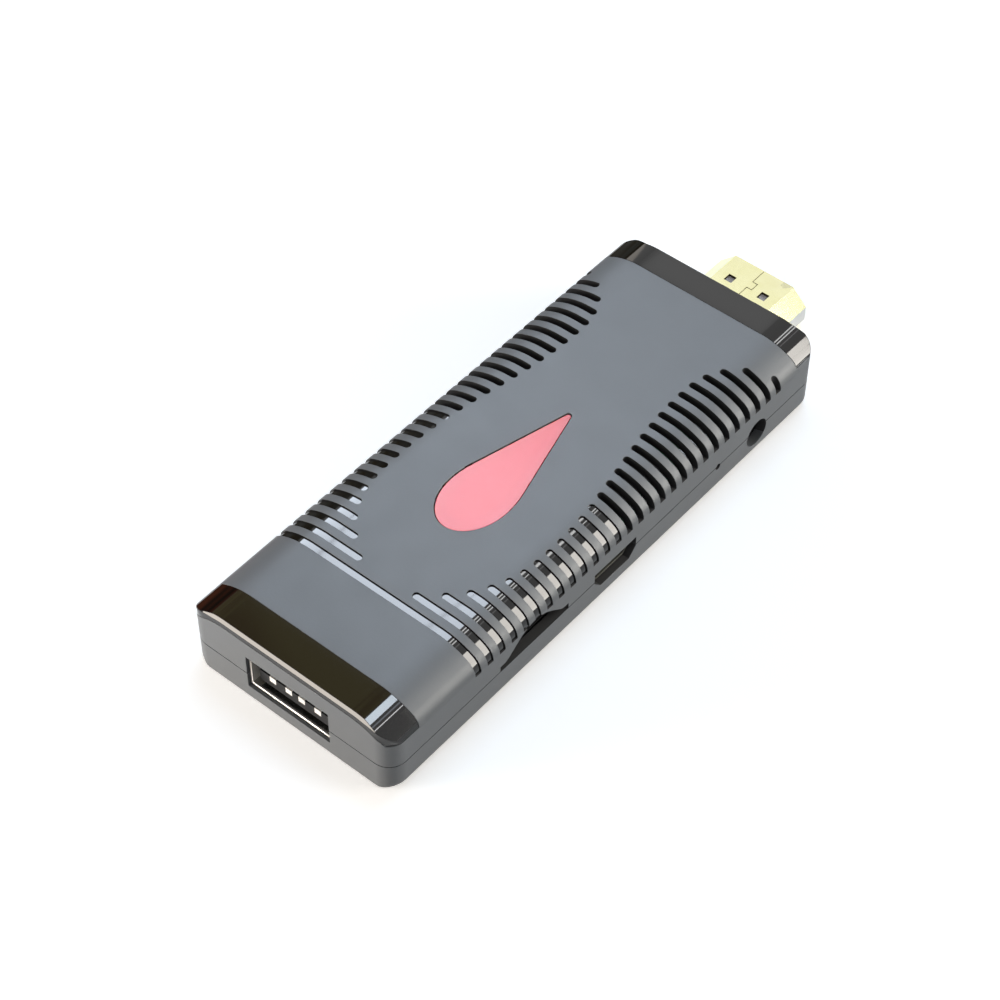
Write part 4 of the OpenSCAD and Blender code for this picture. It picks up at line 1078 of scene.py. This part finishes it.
    def mirrored(self, x: float, y: float, z: float, side: int) -> Point:
        """Finds the point of a card that the camera sees mirrored in a shoulder.

        Args:
            x: The point's place across the housing, in mm.
            y: Place of its image along the housing.
            z: The point's height.
            side: 1 for the right shoulder, -1 for the left one.

        Returns:
            The point.
        """
        eye, edge = self.place(), self.housing.shoulder_point(0, 0)
        away = math.hypot(eye.x - side * edge.x, eye.z - edge.z)
        path = math.hypot(x - side * edge.x, z - edge.z)
        return (x, y + path * (y - eye.y) / away, z)

    def card(self, name: str, front: list[Point], back: list[Point], shades: tuple[str, str]) -> None:
        """Makes a folded card that only mirrored rays see.

        Args:
            name: The card's name.
            front: Its near edge's points, in mm.
            back: Its far edge's points, in mm.
            shades: The two shades of its clouded colour.
        """
        made = empty_material(name.replace("_", " "))
        tree = made.node_tree
        place = add_node(tree, "ShaderNodeTexCoord").outputs["Object"]
        cloud = add_node(tree, "ShaderNodeTexNoise", {
            "Vector": place, "Scale": 1 / (self.card_cloud_mm * MM), "Detail": 4.0})
        drift = add_node(tree, "ShaderNodeMapRange", {"Value": cloud, "From Min": 0.4, "From Max": 0.6})
        shade = add_node(tree, "ShaderNodeMix", {
            0: drift, 6: to_linear(shades[0]), 7: to_linear(shades[1])}, data_type="RGBA")
        shader = add_node(tree, "ShaderNodeBsdfPrincipled", {
            "Base Color": to_linear("#000000"), "Roughness": 1.0, "Specular IOR Level": 0.0,
            "Emission Color": shade.outputs[2], "Emission Strength": 1.0})
        add_node(tree, "ShaderNodeOutputMaterial", {"Surface": shader})
        work = bmesh.new()
        near, far = ([work.verts.new(Vector(point) * MM) for point in edge] for edge in (front, back))
        for i in range(len(near) - 1):
            work.faces.new((near[i], far[i], far[i + 1], near[i + 1]))
        card = mesh_object(name, work)
        card.data.materials.append(made)
        card.visible_camera = card.visible_diffuse = False
        card.visible_shadow = card.visible_transmission = False

    def hang(self, lamp: PlacedLamp | Panel, centre: Vector, outward: Vector, along: Vector,
             size: tuple[float, float]) -> None:
        """Hangs a rectangular lamp that faces the object.

        Args:
            lamp: What it is.
            centre: Its middle, in mm.
            outward: From the object to the lamp.
            along: Direction of its second side.
            size: Its sides in mm.
        """
        data = bpy.data.lights.new(lamp.name, "AREA")
        data.shape = "RECTANGLE"
        data.size, data.size_y = (side * MM for side in size)
        data.energy = lamp.radiance * math.pi * data.size * data.size_y
        data.color = to_linear(lamp.tint)[:3]
        made = add_object(lamp.name, data)
        back = outward.normalized()
        side = along.cross(back).normalized()
        turned = Matrix((side, back.cross(side), back)).transposed().to_4x4()
        made.matrix_world = Matrix.Translation(centre * MM) @ turned
        made.visible_glossy = lamp.mirrored
        made.visible_diffuse = not lamp.mirrored

    def ceiling_x(self, turn: float, side: int) -> float:
        """Finds where on the panels' ceiling a shoulder mirrors the camera's look.

        Args:
            turn: Turn of the shoulder's surface from straight up, in degrees.
            side: 1 for the right shoulder, -1 for the left one.

        Returns:
            The place across the housing, in mm.
        """
        eye = self.place()
        point = self.housing.shoulder_point(math.radians(turn), self.housing.groove_d)
        x = side * point.x
        view = math.atan2(eye.x - x, eye.z - point.z)
        return x + math.tan(2 * side * math.radians(turn) - view) * (self.ceiling_mm - point.z)

    def ceiling_y(self, y: float) -> float:
        """Finds where along the panels' ceiling the roof mirrors the camera's look at a place."""
        eye, roof = self.place(), self.housing.height
        return y + (y - eye.y) / (eye.z - roof) * (self.ceiling_mm - roof)

    def over_roof(self, panel: Panel) -> None:
        """Hangs a level panel that the flat roof mirrors.

        Args:
            panel: The panel, without turns.
        """
        low, high = (self.ceiling_y(end) for end in panel.y)
        left, right = (self.ceiling_x(0, side) + side * panel.lap_mm for side in (-1, 1))
        centre = Vector(((left + right) / 2, (low + high) / 2, self.ceiling_mm))
        self.hang(panel, centre, Vector((0, 0, 1)), Vector((0, 1, 0)), (right - left, high - low))

    def over_shoulder(self, panel: Panel, low: float, high: float) -> None:
        """Hangs a panel that a polished shoulder mirrors between two turns of its surface.

        Args:
            panel: The panel.
            low: The smaller turn from straight up, in degrees.
            high: The larger turn.
        """
        eye = self.place()
        middle = math.radians((low + high) / 2)
        point = self.housing.shoulder_point(middle, self.housing.groove_d)
        point.x *= panel.side
        view = math.atan2(eye.x - point.x, eye.z - point.z)
        away = math.hypot(eye.x - point.x, eye.z - point.z)
        turn = 2 * panel.side * middle - view
        outward = Vector((math.sin(turn), 0, math.cos(turn)))
        ends = [end + self.reach_mm * (end - eye.y) / away for end in panel.y]
        centre = point + outward * self.reach_mm
        centre.y = sum(ends) / 2
        width = 2 * self.reach_mm * math.tan(math.radians(high - low))
        self.hang(panel, centre, outward, Vector((0, 1, 0)), (width, ends[1] - ends[0]))

    def place_lamp(self, lamp: PlacedLamp) -> None:
        """Hangs a lamp at its own place, facing the origin."""
        outward = Vector(lamp.direction).normalized()
        self.hang(lamp, outward * lamp.distance_mm, outward, Vector(lamp.along), lamp.size_mm)

    def light(self) -> None:
        """Hangs the soft lamps that light the matt parts and the panels that the polished parts mirror."""
        for lamp in SOFT_LAMPS:
            self.place_lamp(lamp)
        for panel in PANELS:
            if panel.turns:
                self.over_shoulder(panel, *panel.turns)
            else:
                self.over_roof(panel)
        self.place_lamp(LIP_PANEL)

    def build(self) -> None:
        """Sets up the camera, the light and the floor."""
        bpy.context.scene.view_settings.view_transform = "Standard"
        self.camera()
        self.world()
        self.floor()
        self.cards()
        self.light()


def main() -> None:
    """Loads the frame, sets up the studio, dresses each sub-assembly and logs the nodes left without a
    finish.
    """
    logging.basicConfig(level=logging.INFO, format="%(message)s")
    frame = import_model()
    shop = Workshop(frame["nodes"])
    housing = Housing(shop)
    Studio(housing).build()
    for part in (housing, PicturePlug(shop), HostPort(shop), SidePorts(shop), Board(shop)):
        part.build()
        LOG.info("%s is dressed", type(part).__name__)
    left = sorted(set(frame["nodes"]) - set(shop.dressed))
    LOG.info("Nodes without a finish: %s", left or "none")


if __name__ == "__main__":
    main()
